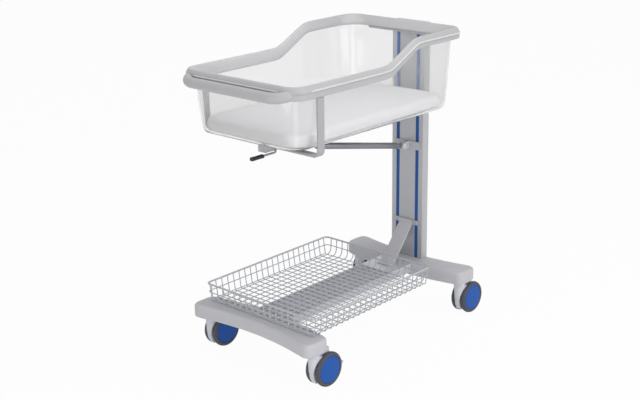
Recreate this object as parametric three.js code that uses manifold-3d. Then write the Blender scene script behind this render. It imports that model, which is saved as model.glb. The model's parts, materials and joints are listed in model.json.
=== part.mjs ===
// Hospital bassinet: a clear tub in a moulded rim that tilts on a column, on a castor base with a basket.
// Millimetres, +Z up. -Y is the foot end with the push handle, +Y the column, +X the right side.
// Stations along Y count from the middle of the wheelbase, and the whole part is then shifted to its origin.
import * as THREE from 'three';
import { mergeVertices } from 'three/addons/utils/BufferGeometryUtils.js';
import Module from 'manifold-3d';

const wasm = await Module();
wasm.setup();

// Clearances
const FIT = 0.3;
const RUN = 0.5;

// Castors: twin wheels that trail behind a stem
const WHEEL_D = 100;
const WHEEL_W = 17;
const WHEEL_PITCH = 34;
const SHOULDER = 6.5;
const HUB_D = 76;
const HUB_FACE_SINK = 0.8;
const AXLE_D = 8;
const STEM_D = 12;
const STEM_RISE = 32;
const TURRET_D = 35;
const WEB_GAP = 0.8;
const WEB_R = 51;
const WEB_SWEEP = 50;
const AXLE_BOSS_R = 14;
const CASTOR_INSET = 28.5;
const CASTOR_TRAIL = 40;
const FRONT_STEM_Y = -366;
const WHEELBASE = 670;
const TURRET_GAP = 1;

// Brake pedal on a front castor
const PEDAL_T = 6;
const PEDAL_ARM_W = 9;
const PEDAL_TAB_W = 36;
const PEDAL_TAB_L = 10;
const PEDAL_REACH = 63;
const PEDAL_GAP = 0.9;

// Legs and spine
const LEG_TOP = 150.5;
const LEG_H = 40;
const LEG_HALF_L = 231;
const LEG_DEPTH = 86;
const LEG_BOW = 25;
const LEG_END_R = 26;
const LEG_EDGE_R = 6;
const FRONT_LEG_Y = -373.5;
const REAR_LEG_Y = 310;

// Aluminium profile shared by the spine and the column
const PROFILE_W = 122;
const PROFILE_T = 28;
const PROFILE_WALL = 4;
const PROFILE_R = 3;
const SLOT_INSET = 24;
const SLOT_W = 12;
const SLOT_DEPTH = 5;
const STRIP_SINK = 0.5;
const COLUMN_FRONT_Y = 295;
const COLUMN_TOP = 893;
const CAP_T = 5.5;

// Gusset strut between spine and column
const STRUT_W = 50;
const STRUT_T = 4;
const STRUT_FOOT_Y = 178;
const STRUT_FOOT_L = 22;
const STRUT_TOP_Z = 274.5;
const STRUT_FLANGE_H = 15;
const CLAMP_W = 96;
const CLAMP_T = 3;

// Wire basket
const BASKET_HALF_W = 210;
const BASKET_FOOT_Y = -377;
const BASKET_HEAD_Y = 147;
const BASKET_TOP = 208.5;
const BASKET_PITCH = 42;
const SIDE_ROWS = 2;
const WIRE = 3;
const TOP_WIRE = 5;

// Rim: the top edge line, its step up to the head end, and its section
const RIM_HALF_W = 208;
const RIM_FOOT_Y = -423;
const RIM_HEAD_Y = 276;
const RIM_CORNER_R = 40;
const RIM_RISE = 27;
const RIM_STEP = 60;
const STEP_FOOT_Y = -55;
const STEP_HEAD_Y = 61;
const STEP_SOFT = 14;
const RIM_CROWN = 5;
const RIM_OUT = 10;
const RIM_IN = 10;
const RIM_IN_CORNER_R = 61;
const RIM_LIP = 1;
const RIM_LIP_DROP = 16;
const BEAD_DROP = 15;
const BEAD_PROUD = 1.5;
const BEAD_H = 5;
const SKIRT_LOW = 20;
const SKIRT_HIGH = 15;

// Tub and mattress
const TUB_WALL = 4;
const TUB_CORNER_R = 80;
const TUB_TAPER = 13;
const TUB_DEPTH = 176;
const TUB_FLOOR_R = 22;
const TUB_EDGE_DROP = 22;
const MATTRESS_INSET = 20;
const MATTRESS_T = 37;
const MATTRESS_CORNER_R = 58;
const MATTRESS_EDGE_R = 13;
const MATTRESS_PULL = 4;
const MATTRESS_LOWER = [[1.1, 0], [0.3, 0.25], [0, 1]];
const MATTRESS_UPPER = [[0, 1.1], [0.35, 0.5], [1.2, 0.2], [4, 0.06], [8, 0]];

// Push handle
const HANDLE_D = 29;
const HANDLE_OUT = 29;
const HANDLE_DROP = 28;
const HANDLE_SETBACK = 30;
const HANDLE_BEND_R = 48;
const HANDLE_RISE = 9;
const HANDLE_SEAT = 5;

// Foot strap under the tub
const STRAP_Y = -340;
const STRAP_W = 25;
const STRAP_T = 6.5;
const STRAP_BEND_R = 20;
const STRAP_GAP = 12;

// Tilt hinge between the rim and the column
const HINGE_BACK = 14;
const HINGE_DROP = 14.5;
const BRACKET_W = 298;
const BRACKET_T = 4;
const BRACKET_DROP = 14;
const BRACKET_RISE = 8;
const EAR_T = 5;
const EAR_REACH = 13;
const BOLT_D = 10;
const BOLT_HEAD_D = 18;
const BOLT_HEAD_T = 5;
const BOLT_GRIP = 9;

// Gas spring from the column to the release block under the strap
const SPRING_DROP = 361.5;
const SPRING_OUT = 27;
const SPRING_D = 19;
const SPRING_TUBE_L = 372;
const SPRING_NECK_L = 28;
const EYE_R = 8;
const EYE_W = 12;
const ROD_D = 8;
const ROD_IN = 110;
const BORE_L = 190;
const SPRING_PIN_D = 8;
const PIN_HEAD_D = 22;
const PIN_HEAD_T = 5;
const PLATE_W = 96;
const PLATE_H = 30;
const PLATE_T = 4;
const CLEVIS_T = 4;
const CLEVIS_R = 12;
const SIDE_GAP = 1;

// Release block and lever
const BLOCK_CHEEK = 6;
const BLOCK_GAP = 16;
const BLOCK_ROOF = 5;
const BLOCK_H = 23;
const BLOCK_FOOT_Y = -338;
const BLOCK_HEAD_Y = -294;
const ROOF_L = 15;
const ROD_EYE_DROP = 11.7;
const ROD_EYE_BACK = 30;
const LEVER_PIN_D = 5;
const LEVER_PIN_HEAD_D = 9;
const LEVER_PIN_HEAD_T = 2;
const LEVER_HUB_R = 6;
const LEVER_HUB_W = 8;
const LEVER_ROD_D = 6;
const LEVER_SETBACK = 8;
const LEVER_REACH = 52;
const LEVER_DROP = 15.5;
const LEVER_BEND_IN = 5;
const LEVER_BEND_L = 16;
const LEVER_BEND_RISE = 3;
const GRIP_L = 45;
const GRIP_W = 13;
const GRIP_T = 10;
const GRIP_LAP = 18;

// Facets on round pieces
const ROUND = 20;
const SMALL_ROUND = 12;
const CORNER_STEPS = 4;
const STEP_STATIONS = 9;

// Places worked out from the driving sizes
const wheelR = WHEEL_D / 2;
const webHalf = (WHEEL_PITCH - WHEEL_W) / 2 - WEB_GAP;
const hubR = HUB_D / 2;
const legBottom = LEG_TOP - LEG_H;
const castorX = LEG_HALF_L - CASTOR_INSET;
const turretTop = legBottom - FIT;
const rearStemY = FRONT_STEM_Y + WHEELBASE;
const spineFootY = FRONT_LEG_Y + LEG_DEPTH / 2 + LEG_BOW + FIT;
const spineHeadY = REAR_LEG_Y - LEG_DEPTH / 2 - LEG_BOW - FIT;
const onSpine = LEG_TOP + FIT;
const slotX = PROFILE_W / 2 - SLOT_INSET;
const hingeY = COLUMN_FRONT_Y + HINGE_BACK;
const hingeZ = COLUMN_TOP - HINGE_DROP;
const rimHighZ = hingeZ + RIM_RISE;
const rimLowZ = rimHighZ - RIM_STEP;
const tubFloorZ = rimLowZ - TUB_DEPTH;
const springZ = hingeZ - SPRING_DROP;
const rimOuterX = RIM_HALF_W + RIM_OUT;
const handleY = RIM_FOOT_Y - HANDLE_OUT;
const handleZ = rimLowZ - HANDLE_DROP;
const strapTop = tubFloorZ - STRAP_GAP;
const strapBottom = strapTop - STRAP_T;
const blockTop = strapBottom - FIT;
const springFrom = new THREE.Vector3(0, COLUMN_FRONT_Y - SPRING_OUT, springZ);
const rodEye = new THREE.Vector3(0, STRAP_Y + ROD_EYE_BACK, blockTop - ROD_EYE_DROP);
const cheekX = BLOCK_GAP / 2 + BLOCK_CHEEK;
const leverX = cheekX + RUN + LEVER_HUB_W / 2;
const leverPivot = new THREE.Vector3(leverX, BLOCK_HEAD_Y - LEVER_SETBACK, blockTop - BLOCK_H / 2);
const backmostY = rearStemY + CASTOR_TRAIL + wheelR;
const footmostY = handleY - HANDLE_D / 2;
const originY = (backmostY + footmostY) / 2;

// Materials
const material = (color, roughness, metalness = 0) =>
  new THREE.MeshStandardMaterial({ color, roughness, metalness });
const rimPlastic = material('#c3c3c2', 0.45);
const clearPlastic = material('#eef1f4', 0.08);
const foamCover = material('#ececec', 0.85);
const castPaint = material('#b4b3b5', 0.55, 0.1);
const anodised = material('#b0b0b6', 0.4, 0.7);
const bluePlastic = material('#2f62b4', 0.45);
const tyreRubber = material('#4c4c52', 0.8);
const housingPlastic = material('#c6c8d2', 0.5);
const steel = material('#9a9a9d', 0.35, 0.9);
const springPaint = material('#85858a', 0.4, 0.6);
const gripRubber = material('#222224', 0.7);

const part = new THREE.Group();
part.position.y = -originY;

function add(name, geometry, look, parent = part) {
  const mesh = new THREE.Mesh(geometry, look);
  mesh.name = name;
  parent.add(mesh);
  return mesh;
}

// Joining and cutting
function bare(geometry) {
  const copy = geometry.clone();
  copy.deleteAttribute('normal');
  copy.deleteAttribute('uv');
  return mergeVertices(copy, 1e-4);
}

function solid(geometry) {
  const merged = bare(geometry);
  const vertProperties = new Float32Array(merged.attributes.position.array);
  const triVerts = new Uint32Array(merged.index.array);
  return new wasm.Manifold(new wasm.Mesh({ numProp: 3, vertProperties, triVerts }));
}

function surface(body) {
  const mesh = body.getMesh();
  const geometry = new THREE.BufferGeometry();
  geometry.setAttribute('position', new THREE.BufferAttribute(new Float32Array(mesh.vertProperties), 3));
  geometry.setIndex(Array.from(mesh.triVerts));
  return geometry;
}

function joined(first, ...others) {
  return surface(others.reduce((body, other) => body.add(solid(other)), solid(first)));
}

function cut(first, ...tools) {
  return surface(tools.reduce((body, tool) => body.subtract(solid(tool)), solid(first)));
}

// Basic shapes, each placed by its limits along the axes
function block(x0, x1, y0, y1, z0, z1) {
  const geometry = new THREE.BoxGeometry(x1 - x0, y1 - y0, z1 - z0);
  return geometry.translate((x0 + x1) / 2, (y0 + y1) / 2, (z0 + z1) / 2);
}

const axisX = new THREE.Matrix4().makeRotationZ(-Math.PI / 2);
const axisZ = new THREE.Matrix4().makeRotationX(Math.PI / 2);

// Turned shape from [radius, place along the axis] pairs, about Y until it is turned to another axis
function turned(profile, sides = ROUND) {
  const points = profile.map(([r, along]) => new THREE.Vector2(r, along));
  return new THREE.LatheGeometry(points, sides);
}

function pinX(radius, x0, x1, y, z, sides = SMALL_ROUND) {
  const profile = [[0, x0], [radius, x0], [radius, x1], [0, x1]];
  return turned(profile, sides).applyMatrix4(axisX).translate(0, y, z);
}

function pinZ(radius, z0, z1, x, y, sides = 16) {
  const profile = [[0, z0], [radius, z0], [radius, z1], [0, z1]];
  return turned(profile, sides).applyMatrix4(axisZ).translate(x, y, 0);
}

function pushed(outline, depth, curveSegments) {
  return new THREE.ExtrudeGeometry(outline, { depth, bevelEnabled: false, curveSegments });
}

// Outline in (Y, Z) pushed along X
function alongX(outline, x0, x1) {
  const basis = new THREE.Matrix4().makeBasis(
    new THREE.Vector3(0, 1, 0), new THREE.Vector3(0, 0, 1), new THREE.Vector3(1, 0, 0));
  const geometry = pushed(outline, x1 - x0, 6);
  return geometry.applyMatrix4(basis).translate(x0, 0, 0);
}

// Outline in (X, Z) pushed along Y
function alongY(outline, y0, y1) {
  const basis = new THREE.Matrix4().makeBasis(
    new THREE.Vector3(1, 0, 0), new THREE.Vector3(0, 0, 1), new THREE.Vector3(0, -1, 0));
  const geometry = pushed(outline, y1 - y0, 5);
  return geometry.applyMatrix4(basis).translate(0, y1, 0);
}

// Outline in (X, Y) pushed up along Z
function alongZ(outline, z0, z1) {
  const geometry = pushed(outline, z1 - z0, 3);
  return geometry.translate(0, 0, z0);
}

function polygon(points) {
  return new THREE.Shape(points.map(([a, b]) => new THREE.Vector2(a, b)));
}

function roundedRectangle(halfW, halfH, radius) {
  const shape = new THREE.Shape();
  shape.absarc(halfW - radius, halfH - radius, radius, 0, Math.PI / 2);
  shape.absarc(radius - halfW, halfH - radius, radius, Math.PI / 2, Math.PI);
  shape.absarc(radius - halfW, radius - halfH, radius, Math.PI, Math.PI * 1.5);
  shape.absarc(halfW - radius, radius - halfH, radius, Math.PI * 1.5, Math.PI * 2);
  return shape;
}

function tube(path, radius, sides, steps) {
  const round = new THREE.Shape().absarc(0, 0, radius, 0, Math.PI * 2);
  const section = new THREE.Shape(round.getSpacedPoints(sides).slice(0, sides));
  return new THREE.ExtrudeGeometry(section, { steps, extrudePath: path, bevelEnabled: false });
}

// Skin over rings of equal point counts; the ends are capped, or the last ring joins the first
function skin(rings, closed = false) {
  const count = rings[0].length;
  const index = [];
  const spans = closed ? rings.length : rings.length - 1;
  for (let r = 0; r < spans; r += 1) {
    const low = r * count;
    const high = ((r + 1) % rings.length) * count;
    for (let i = 0; i < count; i += 1) {
      const next = (i + 1) % count;
      index.push(low + i, low + next, high + next, low + i, high + next, high + i);
    }
  }
  if (!closed) {
    const flat = (ring) => ring.map(([x, y]) => new THREE.Vector2(x, y));
    const cap = (ring) => THREE.ShapeUtils.triangulateShape(flat(ring), []);
    const last = (rings.length - 1) * count;
    cap(rings[0]).forEach(([a, b, c]) => index.push(c, b, a));
    cap(rings[rings.length - 1]).forEach(([a, b, c]) => index.push(last + a, last + b, last + c));
  }
  const geometry = new THREE.BufferGeometry();
  geometry.setAttribute('position', new THREE.Float32BufferAttribute(rings.flat(2), 3));
  geometry.setIndex(index);
  return geometry;
}

// Base: two bowed legs, the spine between them and the bores that take the castor stems
function legOutline(y, bow) {
  const half = LEG_HALF_L;
  const foot = y - LEG_DEPTH / 2;
  const head = y + LEG_DEPTH / 2;
  const shape = new THREE.Shape();
  shape.moveTo(LEG_END_R - half, foot);
  shape.quadraticCurveTo(0, foot + 2 * bow, half - LEG_END_R, foot);
  shape.quadraticCurveTo(half, foot, half, foot + LEG_END_R);
  shape.lineTo(half, head - LEG_END_R);
  shape.quadraticCurveTo(half, head, half - LEG_END_R, head);
  shape.quadraticCurveTo(0, head + 2 * bow, LEG_END_R - half, head);
  shape.quadraticCurveTo(-half, head, -half, head - LEG_END_R);
  shape.lineTo(-half, foot + LEG_END_R);
  shape.quadraticCurveTo(-half, foot, LEG_END_R - half, foot);
  return shape;
}

function leg(y, bow, stemY) {
  const casting = new THREE.ExtrudeGeometry(legOutline(y, bow), {
    depth: LEG_H - 2 * LEG_EDGE_R,
    bevelThickness: LEG_EDGE_R,
    bevelSize: LEG_EDGE_R,
    bevelOffset: -LEG_EDGE_R,
    bevelSegments: 2,
    curveSegments: 8,
  }).translate(0, 0, legBottom + LEG_EDGE_R);
  const bore = (x) => pinZ(STEM_D / 2 + RUN, legBottom - 1, legBottom + STEM_RISE + RUN, x, stemY);
  return cut(casting, bore(-castorX), bore(castorX));
}

// Profile pushed up along Z about its own centre: open chambers between the walls
function profile(z0, z1) {
  const bar = alongZ(roundedRectangle(PROFILE_W / 2, PROFILE_T / 2, PROFILE_R), z0, z1);
  const behindSlot = SLOT_DEPTH + PROFILE_WALL - PROFILE_T / 2;
  const inner = PROFILE_T / 2 - PROFILE_WALL;
  const ribX = slotX - SLOT_W / 2 - PROFILE_WALL;
  const outerX = PROFILE_W / 2 - PROFILE_WALL;
  const chamber = (x0, x1) => block(x0, x1, behindSlot, inner, z0 - 1, z1 + 1);
  return cut(bar, chamber(-ribX, ribX), chamber(ribX + PROFILE_WALL, outerX),
    chamber(-outerX, -ribX - PROFILE_WALL));
}

function spine() {
  const bar = profile(0, spineHeadY - spineFootY);
  return bar.rotateX(Math.PI / 2).translate(0, spineHeadY, LEG_TOP - PROFILE_T / 2);
}

function column() {
  const post = profile(onSpine, COLUMN_TOP).translate(0, COLUMN_FRONT_Y + PROFILE_T / 2, 0);
  const slot = (x) => block(x - SLOT_W / 2, x + SLOT_W / 2, COLUMN_FRONT_Y - 1, COLUMN_FRONT_Y + SLOT_DEPTH,
    onSpine - 1, COLUMN_TOP + 1);
  const edge = PROFILE_W / 2;
  const boltBore = (x0, x1) => pinX(BOLT_D / 2 + RUN, x0, x1, hingeY, hingeZ);
  return cut(post, slot(-slotX), slot(slotX), boltBore(edge - BOLT_GRIP - FIT, edge + 1),
    boltBore(-edge - 1, BOLT_GRIP + FIT - edge));
}

function strip(x) {
  const half = SLOT_W / 2 - FIT;
  return block(x - half, x + half, COLUMN_FRONT_Y + STRIP_SINK, COLUMN_FRONT_Y + SLOT_DEPTH - FIT,
    onSpine, COLUMN_TOP);
}

function columnCap() {
  const outline = roundedRectangle(PROFILE_W / 2, PROFILE_T / 2, PROFILE_R);
  const z0 = COLUMN_TOP + FIT;
  return alongZ(outline, z0, z0 + CAP_T).translate(0, COLUMN_FRONT_Y + PROFILE_T / 2, 0);
}

// Gusset: a bent flat bar with a foot on the spine and a flange on the column, held by a clamp bar
function strut() {
  const back = COLUMN_FRONT_Y - FIT - CLAMP_T - FIT;
  const flangeZ = STRUT_TOP_Z - STRUT_FLANGE_H;
  const heel = STRUT_FOOT_Y + STRUT_FOOT_L;
  const outline = polygon([
    [STRUT_FOOT_Y, onSpine], [heel, onSpine], [back, flangeZ], [back, STRUT_TOP_Z],
    [back - STRUT_T, STRUT_TOP_Z], [back - STRUT_T, flangeZ + 1], [heel - 2, onSpine + STRUT_T],
    [STRUT_FOOT_Y, onSpine + STRUT_T],
  ]);
  return alongX(outline, -STRUT_W / 2, STRUT_W / 2);
}

function clampBar() {
  return block(-CLAMP_W / 2, CLAMP_W / 2, COLUMN_FRONT_Y - FIT - CLAMP_T, COLUMN_FRONT_Y - FIT,
    STRUT_TOP_Z - STRUT_FLANGE_H, STRUT_TOP_Z);
}

// Basket: five welded grilles of square wire. Each lies in X and Z with its middle at X = 0,
// stands on Z = 0 and is one wire thick from Y = 0
function grille(width, height, topWire, rows) {
  const columns = Math.round(width / BASKET_PITCH);
  const across = (width - WIRE) / columns;
  const rise = (height - topWire) / rows;
  const bars = [block(-width / 2, width / 2, 0, WIRE, height - topWire, height)];
  for (let row = 0; row < rows; row += 1) {
    bars.push(block(-width / 2, width / 2, 0, WIRE, row * rise, row * rise + WIRE));
  }
  for (let column = 0; column <= columns; column += 1) {
    const x = -width / 2 + column * across;
    bars.push(block(x, x + WIRE, 0, WIRE, 0, height));
  }
  return joined(...bars);
}

function basket() {
  const length = BASKET_HEAD_Y - BASKET_FOOT_Y - 2 * (WIRE + FIT);
  const middle = (BASKET_HEAD_Y + BASKET_FOOT_Y) / 2;
  const width = 2 * BASKET_HALF_W;
  const sideH = BASKET_TOP - onSpine;
  const floorRows = Math.round(length / BASKET_PITCH);
  const floor = grille(width - 2 * (WIRE + FIT), length, WIRE, floorRows).rotateX(-Math.PI / 2);
  add('basket_floor', floor.translate(0, middle - length / 2, onSpine + WIRE), steel);
  const side = () => grille(length, sideH, TOP_WIRE, SIDE_ROWS).rotateZ(Math.PI / 2);
  add('basket_right', side().translate(BASKET_HALF_W, middle, onSpine), steel);
  add('basket_left', side().translate(WIRE - BASKET_HALF_W, middle, onSpine), steel);
  const end = () => grille(width, sideH, TOP_WIRE, SIDE_ROWS);
  add('basket_foot_end', end().translate(0, BASKET_FOOT_Y, onSpine), steel);
  add('basket_head_end', end().translate(0, BASKET_HEAD_Y - WIRE, onSpine), steel);
}

// Rim: its top line rises from the low part to the high part in a softened ramp
function softened(s) {
  return (s + Math.hypot(s, STEP_SOFT)) / 2;
}

function rampShare(y) {
  return (softened(y - STEP_FOOT_Y) - softened(y - STEP_HEAD_Y)) / (STEP_HEAD_Y - STEP_FOOT_Y);
}

function rimTop(y) {
  return rimLowZ + (rimHighZ - rimLowZ) * rampShare(y);
}

function skirt(y) {
  return SKIRT_LOW + (SKIRT_HIGH - SKIRT_LOW) * rampShare(y);
}

// Rounded rectangle in plan, `out` outside the rim's top line, with stations where the step rises
function planLoop(out, cornerR) {
  const halfW = RIM_HALF_W + out;
  const footY = RIM_FOOT_Y - out;
  const headY = RIM_HEAD_Y + out;
  const span = STEP_HEAD_Y - STEP_FOOT_Y + 4 * STEP_SOFT;
  const stations = Array.from({ length: STEP_STATIONS },
    (_, i) => STEP_FOOT_Y - 2 * STEP_SOFT + (i * span) / (STEP_STATIONS - 1));
  const corner = (x, y, from) => Array.from({ length: CORNER_STEPS + 1 }, (_, i) => {
    const angle = from + (i * Math.PI) / 2 / CORNER_STEPS;
    return [x + cornerR * Math.cos(angle), y + cornerR * Math.sin(angle)];
  });
  const inX = halfW - cornerR;
  return [
    ...corner(inX, footY + cornerR, -Math.PI / 2),
    ...stations.map((y) => [halfW, y]),
    ...corner(inX, headY - cornerR, 0),
    ...corner(-inX, headY - cornerR, Math.PI / 2),
    ...stations.toReversed().map((y) => [-halfW, y]),
    ...corner(-inX, footY + cornerR, Math.PI),
  ];
}

// Section of the rim as [out, drop below the top line, corner radius in plan], with a groove that takes
// the tub's edge; its inner face goes round the corners in a wider sweep, as the tub does
function rimSection(grow) {
  const slit = TUB_WALL / 2 + FIT - grow;
  const roof = TUB_EDGE_DROP + grow;
  const inner = -RIM_IN - grow;
  const outer = RIM_OUT + grow;
  const bead = outer + BEAD_PROUD;
  const under = (y) => BEAD_DROP + skirt(y) + grow;
  const along = (out, drop) => [out, drop, RIM_CORNER_R + out];
  const inside = (out, drop) => [out, drop, RIM_IN_CORNER_R];
  const besideTub = (out, drop) => [out, drop, TUB_CORNER_R + out];
  return [
    inside(inner, under),
    inside(inner + RIM_LIP, () => RIM_LIP_DROP),
    along(-RIM_CROWN - grow, () => RIM_CROWN),
    along(-RIM_CROWN / 2, () => -grow),
    along(RIM_CROWN / 2, () => -grow),
    along(RIM_CROWN + grow, () => RIM_CROWN - grow),
    along(outer, () => BEAD_DROP - BEAD_H / 2),
    along(bead, () => BEAD_DROP),
    along(outer, () => BEAD_DROP + BEAD_H / 2),
    along(outer, under),
    besideTub(slit, under),
    besideTub(slit, () => roof),
    besideTub(-slit, () => roof),
    besideTub(-slit, under),
  ];
}

function rim(grow = 0) {
  const rings = rimSection(grow).toReversed().map(([out, drop, cornerR]) =>
    planLoop(out, cornerR).map(([x, y]) => [x, y, rimTop(y) - drop(y)]));
  return skin(rings, true);
}

// Tub: tapered walls and a rounded floor edge, the same rows outside and inside one wall apart
function tubRows(inset, floorZ, floorR) {
  const atEdge = TUB_WALL / 2 - inset;
  const atFloor = atEdge - TUB_TAPER;
  const row = (out, height) =>
    planLoop(out, TUB_CORNER_R + out).map(([x, y]) => [x, y, height(y)]);
  const rows = [
    row(atEdge, (y) => rimTop(y) - TUB_EDGE_DROP - FIT),
    row(atEdge, (y) => rimTop(y) - BEAD_DROP - SKIRT_LOW - FIT),
  ];
  for (let i = 0; i <= 3; i += 1) {
    const angle = (i * Math.PI) / 6;
    const z = floorZ + floorR * (1 - Math.sin(angle));
    rows.push(row(atFloor - floorR * (1 - Math.cos(angle)), () => z));
  }
  return rows;
}

function tub() {
  const outside = tubRows(0, tubFloorZ, TUB_FLOOR_R);
  const inside = tubRows(TUB_WALL, tubFloorZ + TUB_WALL, TUB_FLOOR_R - TUB_WALL);
  return skin([...outside.toReversed(), ...inside]);
}

// Mattress: a crowned pad whose long sides pull in between the corners. Its rows are [inset, height]
// in edge radii, up from its bottom and then down from its top
function mattress() {
  const bottom = tubFloorZ + TUB_WALL + FIT;
  const top = bottom + MATTRESS_T;
  const rows = [
    ...MATTRESS_LOWER.map(([inset, rise]) => [inset, bottom + MATTRESS_EDGE_R * rise]),
    ...MATTRESS_UPPER.map(([inset, drop]) => [inset, top - MATTRESS_EDGE_R * drop]),
  ];
  const middle = (RIM_FOOT_Y + RIM_HEAD_Y) / 2;
  const reach = (RIM_HEAD_Y - RIM_FOOT_Y) / 2;
  const rings = rows.map(([edge, z]) => {
    const inset = MATTRESS_INSET + edge * MATTRESS_EDGE_R;
    return planLoop(-inset, MATTRESS_CORNER_R).map(([x, y]) => {
      const pull = MATTRESS_PULL * (1 - ((y - middle) / reach) ** 2);
      return [x - Math.sign(x) * pull, y, z];
    });
  });
  return skin(rings);
}

// Push handle: a round bar across the foot end, whose ends turn back and rise into the rim's corners
function pushHandle() {
  const straight = RIM_HALF_W - RIM_CORNER_R - HANDLE_SETBACK;
  const steps = 8;
  const bend = Array.from({ length: steps + 1 }, (_, i) => {
    const share = i / steps;
    const angle = (share * Math.PI) / 2;
    return [straight + HANDLE_BEND_R * Math.sin(angle), handleY + HANDLE_BEND_R * (1 - Math.cos(angle)),
      handleZ + HANDLE_RISE * share ** 2];
  });
  const right = bend.map(([x, y, z]) => new THREE.Vector3(x, y, z));
  const left = bend.toReversed().map(([x, y, z]) => new THREE.Vector3(-x, y, z));
  const path = new THREE.CurvePath();
  path.add(new THREE.CatmullRomCurve3(left));
  path.add(new THREE.LineCurve3(left[steps], right[0]));
  path.add(new THREE.CatmullRomCurve3(right));
  const bar = tube(path, HANDLE_D / 2, 12, 28);
  const seat = polygon(planLoop(HANDLE_SEAT, RIM_CORNER_R + HANDLE_SEAT));
  return cut(bar, alongZ(seat, handleZ - HANDLE_D, handleZ + HANDLE_D), rim(FIT));
}

// Foot strap: a flat bar in a U from one side of the rim, under the tub, to the other
function footStrap() {
  const outX = rimOuterX;
  const inX = outX - STRAP_T;
  const top = rimLowZ - BEAD_DROP - SKIRT_LOW - FIT;
  const inR = STRAP_BEND_R - STRAP_T;
  const outline = new THREE.Shape();
  outline.moveTo(outX, top);
  outline.lineTo(inX, top);
  outline.absarc(inX - inR, strapTop + inR, inR, 0, -Math.PI / 2, true);
  outline.absarc(inR - inX, strapTop + inR, inR, -Math.PI / 2, -Math.PI, true);
  outline.lineTo(-inX, top);
  outline.lineTo(-outX, top);
  outline.absarc(STRAP_BEND_R - outX, strapBottom + STRAP_BEND_R, STRAP_BEND_R, Math.PI, Math.PI * 1.5);
  outline.absarc(outX - STRAP_BEND_R, strapBottom + STRAP_BEND_R, STRAP_BEND_R, -Math.PI / 2, 0);
  return alongY(outline, STRAP_Y - STRAP_W / 2, STRAP_Y + STRAP_W / 2);
}

// Tilt hinge: a plate behind the rim with an ear on each side of the column, and a bolt through each ear
function hingeBracket() {
  const face = RIM_HEAD_Y + RIM_OUT + FIT;
  const back = face + BRACKET_T;
  const inX = PROFILE_W / 2 + RUN;
  const outX = inX + EAR_T;
  const tip = hingeY + EAR_REACH;
  const half = BRACKET_W / 2;
  const plan = polygon([
    [-half, face], [half, face], [half, back], [outX, back], [outX, tip], [inX, tip], [inX, back],
    [-inX, back], [-inX, tip], [-outX, tip], [-outX, back], [-half, back],
  ]);
  const plate = alongZ(plan, hingeZ - BRACKET_DROP, hingeZ + BRACKET_RISE);
  return cut(plate, pinX(BOLT_D / 2 + RUN, -outX - 1, outX + 1, hingeY, hingeZ));
}

function hingeBolt(side) {
  const inEnd = PROFILE_W / 2 - BOLT_GRIP;
  const seat = PROFILE_W / 2 + RUN + EAR_T + RUN;
  const profile = [
    [0, inEnd], [BOLT_D / 2, inEnd], [BOLT_D / 2, seat], [BOLT_HEAD_D / 2, seat],
    [BOLT_HEAD_D / 2, seat + BOLT_HEAD_T], [0, seat + BOLT_HEAD_T],
  ];
  const bolt = turned(profile, SMALL_ROUND).applyMatrix4(axisX);
  return (side < 0 ? bolt.rotateZ(Math.PI) : bolt).translate(0, hingeY, hingeZ);
}

// Spring bracket: a plate across the column with a clevis, and the pin through it
function springBracket() {
  const back = COLUMN_FRONT_Y - FIT;
  const plate = block(-PLATE_W / 2, PLATE_W / 2, back - PLATE_T, back,
    springZ - PLATE_H / 2, springZ + PLATE_H / 2);
  const inX = EYE_W / 2 + SIDE_GAP;
  const nose = springFrom.y;
  const ear = new THREE.Shape();
  ear.moveTo(back - 1, springZ - CLEVIS_R);
  ear.lineTo(back - 1, springZ + CLEVIS_R);
  ear.absarc(nose, springZ, CLEVIS_R, Math.PI / 2, Math.PI * 1.5);
  const bore = pinX(SPRING_PIN_D / 2 + FIT, -PLATE_W, PLATE_W, springFrom.y, springFrom.z);
  return cut(joined(plate, alongX(ear, inX, inX + CLEVIS_T), alongX(ear, -inX - CLEVIS_T, -inX)), bore);
}

function springPin() {
  const seat = EYE_W / 2 + SIDE_GAP + CLEVIS_T + FIT;
  const profile = [
    [0, -seat], [SPRING_PIN_D / 2, -seat], [SPRING_PIN_D / 2, seat], [PIN_HEAD_D / 2, seat],
    [PIN_HEAD_D / 2, seat + PIN_HEAD_T], [0, seat + PIN_HEAD_T],
  ];
  return turned(profile, SMALL_ROUND).applyMatrix4(axisX).translate(0, springFrom.y, springFrom.z);
}

// Gas spring in its own frame: +Y runs from the column pin to the rod's eye
const springLength = springFrom.distanceTo(rodEye);

function springCylinder() {
  const start = SPRING_NECK_L;
  const end = start + SPRING_TUBE_L;
  const edge = 2;
  const tubeBody = turned([
    [0, start], [SPRING_D / 2 - edge, start], [SPRING_D / 2, start + edge], [SPRING_D / 2, end - edge],
    [SPRING_D / 2 - edge, end], [0, end],
  ], 16);
  const neck = turned([[0, 0], [EYE_R * 0.7, 0], [EYE_R * 0.7, start + edge], [0, start + edge]], 16);
  const eye = pinX(EYE_R, -EYE_W / 2, EYE_W / 2, 0, 0, 16);
  const pinBore = pinX(SPRING_PIN_D / 2 + RUN, -EYE_W, EYE_W, 0, 0);
  const boreR = ROD_D / 2 + RUN;
  const rodBore = turned([[0, end - BORE_L], [boreR, end - BORE_L], [boreR, end + 1], [0, end + 1]], 16);
  return cut(joined(tubeBody, neck, eye), pinBore, rodBore);
}

function springRod() {
  const from = SPRING_NECK_L + SPRING_TUBE_L - ROD_IN;
  const r = ROD_D / 2;
  const rod = turned([[0, from], [r, from], [r, springLength], [0, springLength]], 16);
  return joined(rod, pinX(EYE_R, -EYE_W / 2, EYE_W / 2, springLength, 0, 16));
}

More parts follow.
